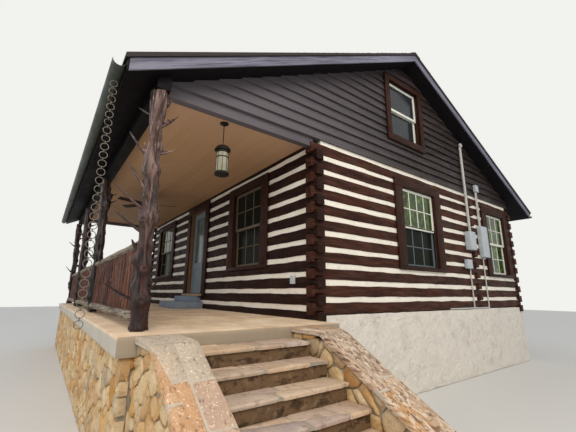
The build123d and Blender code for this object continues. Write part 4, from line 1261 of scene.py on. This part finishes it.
values = {key.capitalize(): chainLook[key] for key in ("rings", "pitch", "big", "small", "wire")}
standFor(grown("rain_chain_rings", chainTree, [{"at": (0, 0, 0)}], values), "rain_chain")
print("chain linked")


# Shingle tabs in courses over a plate let down beneath them

tabTree, given = newTree("shingleTabs", {"Coat": "Material"})
tab = addNode(tabTree, "GeometryNodeMeshCube")
closeTree(tabTree, stamped(tabTree, given["Geometry"], tab.outputs["Mesh"]), given["Coat"])


def tabsOver(nodeName, look):
    dice = random.Random(nodeName)
    plate = solidsOf(nodeName)[0]
    top = max((face for face in plate.faces if face.normal.z > 0.5), key=lambda face: face.calc_area())
    out = top.normal.copy()
    corners = [vert.co.copy() for vert in top.verts]
    eave = min(corners, key=lambda co: (round(co.z, 3), co.x))
    ridge = max(corners, key=lambda co: (round(co.z, 3), -co.x))
    high = max(co.x for co in corners)
    rise = ridge - eave
    length = rise.length
    rise.normalize()
    slope = math.asin(rise.z)
    tilt = look["thick"] / look["course"]
    spots = []
    for row in range(int(length / look["course"])):
        start = row * look["course"] + look["foot"]
        run = min(look["course"] * look["lap"], length - start - look["head"])
        place = eave + rise * (start + run / 2) - out * (run / 2 * tilt + look["thick"] / 2 + look["sunk"])
        x = eave.x - (row % 2) * look["wide"] / 2 - dice.random() * look["shift"]
        while x < high:
            left = max(x, eave.x + dice.random() * look["ragged"])
            right = min(x + look["wide"], high - dice.random() * look["ragged"])
            x += look["wide"]
            if right - left > look["least"]:
                spots.append({
                    "at": ((left + right) / 2, place.y, place.z),
                    "turn": (slope - tilt, 0, 0 if rise.y > 0 else math.pi),
                    "size": (right - left - look["gap"], run, look["thick"]),
                    "shade": dice.random(),
                })
    for vert in top.verts:
        vert.co -= out * look["deep"]
    assemble(nodeName + "_plate", [partOf(plate, 0.2)], shingleGrit, smooth=False)
    print(nodeName, len(spots), "tabs")
    standFor(grown(nodeName + "_tabs", tabTree, spots, {"Coat": shingleGrit}), nodeName)


tabLook = {
    "course": 0.142, "wide": 0.3, "thick": 0.006, "deep": 0.012, "lap": 1.3, "gap": 0.004,
    "foot": 0.002, "head": 0.004, "sunk": 0.0005, "shift": 0.1, "ragged": 0.006, "least": 0.03,
}
tabsOver("front_shingles", tabLook)
tabsOver("rear_shingles", tabLook)


# Turned and boxed details on the lantern, the fan, the door and the meter

def turnedPart(centre, axis, rings, sides):
    path = [Vector(centre) + axis * along for along, radius in rings]
    return tubeAlong(path, [radius for along, radius in rings], sides)


def blockPart(low, high, ease):
    solid = bmesh.new()
    bmesh.ops.create_cube(solid, size=1)
    for vert in solid.verts:
        vert.co = Vector([(a + b) / 2 + c * (b - a) for a, b, c in zip(low, high, vert.co)])
    easeEdges(solid, ease)
    return partOf(solid)


# Each ring of a turned piece is its place along the axis and its radius
lanternLook = {
    "centre": (-0.26, -1.36, 0), "sides": 32, "bars": 8, "barSides": 8, "barPlace": 0.079, "barWide": 0.007,
    "barEnds": (3.035, 3.31),
    "ironwork": [
        [(3.7, 0.012), (3.712, 0.05), (3.722, 0.058), (3.728, 0.058)],  # canopy
        [(3.41, 0.006), (3.705, 0.006)],  # rod
        [
            (3.33, 0.084), (3.334, 0.104), (3.345, 0.105), (3.352, 0.101), (3.37, 0.094), (3.388, 0.08),
            (3.4, 0.058), (3.406, 0.03), (3.412, 0.014), (3.418, 0.009),
        ],  # cap
        [(3.3, 0.08), (3.303, 0.088), (3.325, 0.088), (3.335, 0.08)],  # collar
        [(3.232, 0.079), (3.234, 0.084), (3.243, 0.084), (3.245, 0.079)],  # band
        [
            (2.998, 0.074), (3.0, 0.088), (3.01, 0.096), (3.026, 0.096), (3.032, 0.088), (3.04, 0.084),
            (3.044, 0.076),
        ],  # base
    ],
    "glass": [(3.03, 0.072), (3.035, 0.076), (3.19, 0.077), (3.33, 0.076)],
}
centre, sides = Vector(lanternLook["centre"]), lanternLook["sides"]
ironwork = [turnedPart(centre, upAxis, rings, sides) for rings in lanternLook["ironwork"]]
barRings = [(end, lanternLook["barWide"] / 2) for end in lanternLook["barEnds"]]
for number in range(lanternLook["bars"]):
    angle = math.tau * (number + 0.5) / lanternLook["bars"]
    foot = centre + Vector((math.cos(angle), math.sin(angle), 0)) * lanternLook["barPlace"]
    ironwork.append(turnedPart(foot, upAxis, barRings, lanternLook["barSides"]))
standFor(assemble("lantern_ironwork", ironwork, blackIron), "lantern_frame")
cylinder = turnedPart(centre, upAxis, lanternLook["glass"], sides)
standFor(assemble("lantern_cylinder", [cylinder], lampGlass), "lantern_glass")

fanLook = {
    "centre": (-4.155, -1.36, 0), "sides": 32,
    "rings": [
        (3.482, 0.03), (3.486, 0.066), (3.5, 0.078), (3.516, 0.082), (3.522, 0.1), (3.545, 0.105),
        (3.575, 0.105), (3.6, 0.096), (3.615, 0.06), (3.622, 0.022), (3.69, 0.02), (3.694, 0.05),
        (3.712, 0.07), (3.728, 0.072),
    ],
}
motor = turnedPart(fanLook["centre"], upAxis, fanLook["rings"], fanLook["sides"])
standFor(assemble("fan_motor_housing", [motor], blackIron), "fan_motor")

doorLook = {
    "low": (-4.679, 0.031, 2.238), "high": (-3.981, 0.0352, 3.387), "ease": 0.0008,
    "proud": 0.0265, "bead": 0.016, "beadEase": 0.003, "bars": 2, "barHalf": 0.006, "barEase": 0.002,
}
low, high, bead = doorLook["low"], doorLook["high"], doorLook["bead"]
pane = blockPart(low, high, doorLook["ease"])
assemble("door_glazing", [pane], doorGlass, body="door", smooth=False)
strips = [  # each is the reach in x, the reach in z and the easing
    (low[0], low[0] + bead, low[2], high[2], doorLook["beadEase"]),
    (high[0] - bead, high[0], low[2], high[2], doorLook["beadEase"]),
    (low[0] + bead, high[0] - bead, low[2], low[2] + bead, doorLook["beadEase"]),
    (low[0] + bead, high[0] - bead, high[2] - bead, high[2], doorLook["beadEase"]),
]
for number in range(doorLook["bars"]):
    x = low[0] + (high[0] - low[0]) * (number + 1) / (doorLook["bars"] + 1)
    half = doorLook["barHalf"]
    strips.append((x - half, x + half, low[2] + bead, high[2] - bead, doorLook["barEase"]))
beads = [
    blockPart((left, doorLook["proud"], foot), (right, high[1], head), ease)
    for left, right, foot, head, ease in strips
]
assemble("door_glazing_beads", beads, doorPaint, body="door")

boxLook = {"edge": 0.006, "cells": (), "depth": 0, "size": (1, 1, 1)}
worked("electrical_boxes", boxPaint, boxLook)
meterLook = {
    "centre": (0.15, 4.355, 2.76), "sides": 28,
    "rings": [(0, 0.062), (0.012, 0.062), (0.014, 0.054), (0.03, 0.05), (0.038, 0.034), (0.04, 0.01)],
}
meter = turnedPart(meterLook["centre"], alongX, meterLook["rings"], meterLook["sides"])
assemble("meter_glass", [meter], greyGlass)

plainFinishes = {
    "gutters": gutterPaint, "door_leaf": doorPaint, "door_hinges": blackIron, "door_hardware": brass,
    "fan_blades": bladeWood, "service_conduits": pipeWhite,
}
for nodeName, material in plainFinishes.items():
    nodes[nodeName].data.materials.clear()
    nodes[nodeName].data.materials.append(material)
print("details turned and painted")


# Camera, floor and soft light

view = {
    "place": (3.433, -3.015, 1.535), "turn": 36.377, "tilt": 13.31, "roll": 0.47, "lens": 20.44,
    "sensor": 36, "far": 200,
}
turn, tilt, roll = (math.radians(view[key]) for key in ("turn", "tilt", "roll"))
ahead = Vector((-math.cos(turn) * math.cos(tilt), math.sin(turn) * math.cos(tilt), math.sin(tilt)))
level = ahead.cross(upAxis).normalized()
above = level.cross(ahead)
right = math.cos(roll) * level + math.sin(roll) * above
upward = -math.sin(roll) * level + math.cos(roll) * above
cameraData = bpy.data.cameras.new("camera")
cameraData.lens = view["lens"]
cameraData.sensor_width = view["sensor"]
cameraData.clip_end = view["far"]
camera = addObject("camera", cameraData)
stance = Matrix((right, upward, -ahead)).transposed().to_4x4()
camera.matrix_world = Matrix.Translation(view["place"]) @ stance
bpy.context.scene.camera = camera

floorLook = {"reach": 40, "colour": "d8d6d0", "roughness": 0.9}
reach = floorLook["reach"]
floorMesh = bpy.data.meshes.new("floor")
rim = [(-reach, -reach, 0), (reach, -reach, 0), (reach, reach, 0), (-reach, reach, 0)]
floorMesh.from_pydata(rim, [], [(0, 1, 2, 3)])
floor = addObject("floor", floorMesh)
floorPaint = bpy.data.materials.new("paleFloor")
floorPaint.use_nodes = True
floorShader = floorPaint.node_tree.nodes["Principled BSDF"]
floorShader.inputs["Base Color"].default_value = tint(floorLook["colour"])
floorShader.inputs["Roughness"].default_value = floorLook["roughness"]
floorMesh.materials.append(floorPaint)

lamps = {
    "key": {"place": (9, -5, 9), "aim": (-2, 1, 2), "size": 7, "power": 900, "colour": "fff6ea"},
    "fill": {"place": (-4, -12, 6), "aim": (-3, 0, 2), "size": 9, "power": 260, "colour": "eef3ff"},
}
for name, lamp in lamps.items():
    data = bpy.data.lights.new(name, "AREA")
    data.size = lamp["size"]
    data.energy = lamp["power"]
    data.color = tint(lamp["colour"])[:3]
    light = addObject(name, data)
    light.location = lamp["place"]
    aim = Vector(lamp["aim"]) - Vector(lamp["place"])
    light.rotation_euler = aim.to_track_quat("-Z", "Y").to_euler()

skyLook = {"dim": "b9bcc0", "light": "f6f9ff", "lean": (0.35, -0.5, 0.8), "strength": 0.8, "seen": "f2f2ee"}
world = bpy.data.worlds.new("studio")
bpy.context.scene.world = world
world.use_nodes = True
sky = world.node_tree
sky.nodes.clear()
spot = addNode(sky, "ShaderNodeTexCoord").outputs["Generated"]
facing = addNode(sky, "ShaderNodeVectorMath", {0: spot, 1: skyLook["lean"]}, operation="DOT_PRODUCT")
share = addNode(sky, "ShaderNodeMapRange", {
    "Value": facing.outputs["Value"], "From Min": -0.8, "From Max": 0.8,
})
glow = rampOf(sky, share.outputs[0], [skyLook["dim"], skyLook["light"]])
lighting = addNode(sky, "ShaderNodeBackground", {"Color": glow, "Strength": skyLook["strength"]})
seen = addNode(sky, "ShaderNodeBackground", {"Color": tint(skyLook["seen"]), "Strength": 1})
paths = addNode(sky, "ShaderNodeLightPath").outputs
direct = paths["Is Camera Ray"]
for key in ("Is Glossy Ray", "Is Transmission Ray"):
    direct = addNode(sky, "ShaderNodeMath", {0: direct, 1: paths[key]}, operation="MAXIMUM").outputs[0]
either = addNode(sky, "ShaderNodeMixShader", {0: direct, 1: lighting.outputs[0], 2: seen.outputs[0]})
addNode(sky, "ShaderNodeOutputWorld", {"Surface": either.outputs[0]})
bpy.context.scene.view_settings.view_transform = "Standard"
print("camera, floor and lamps placed")
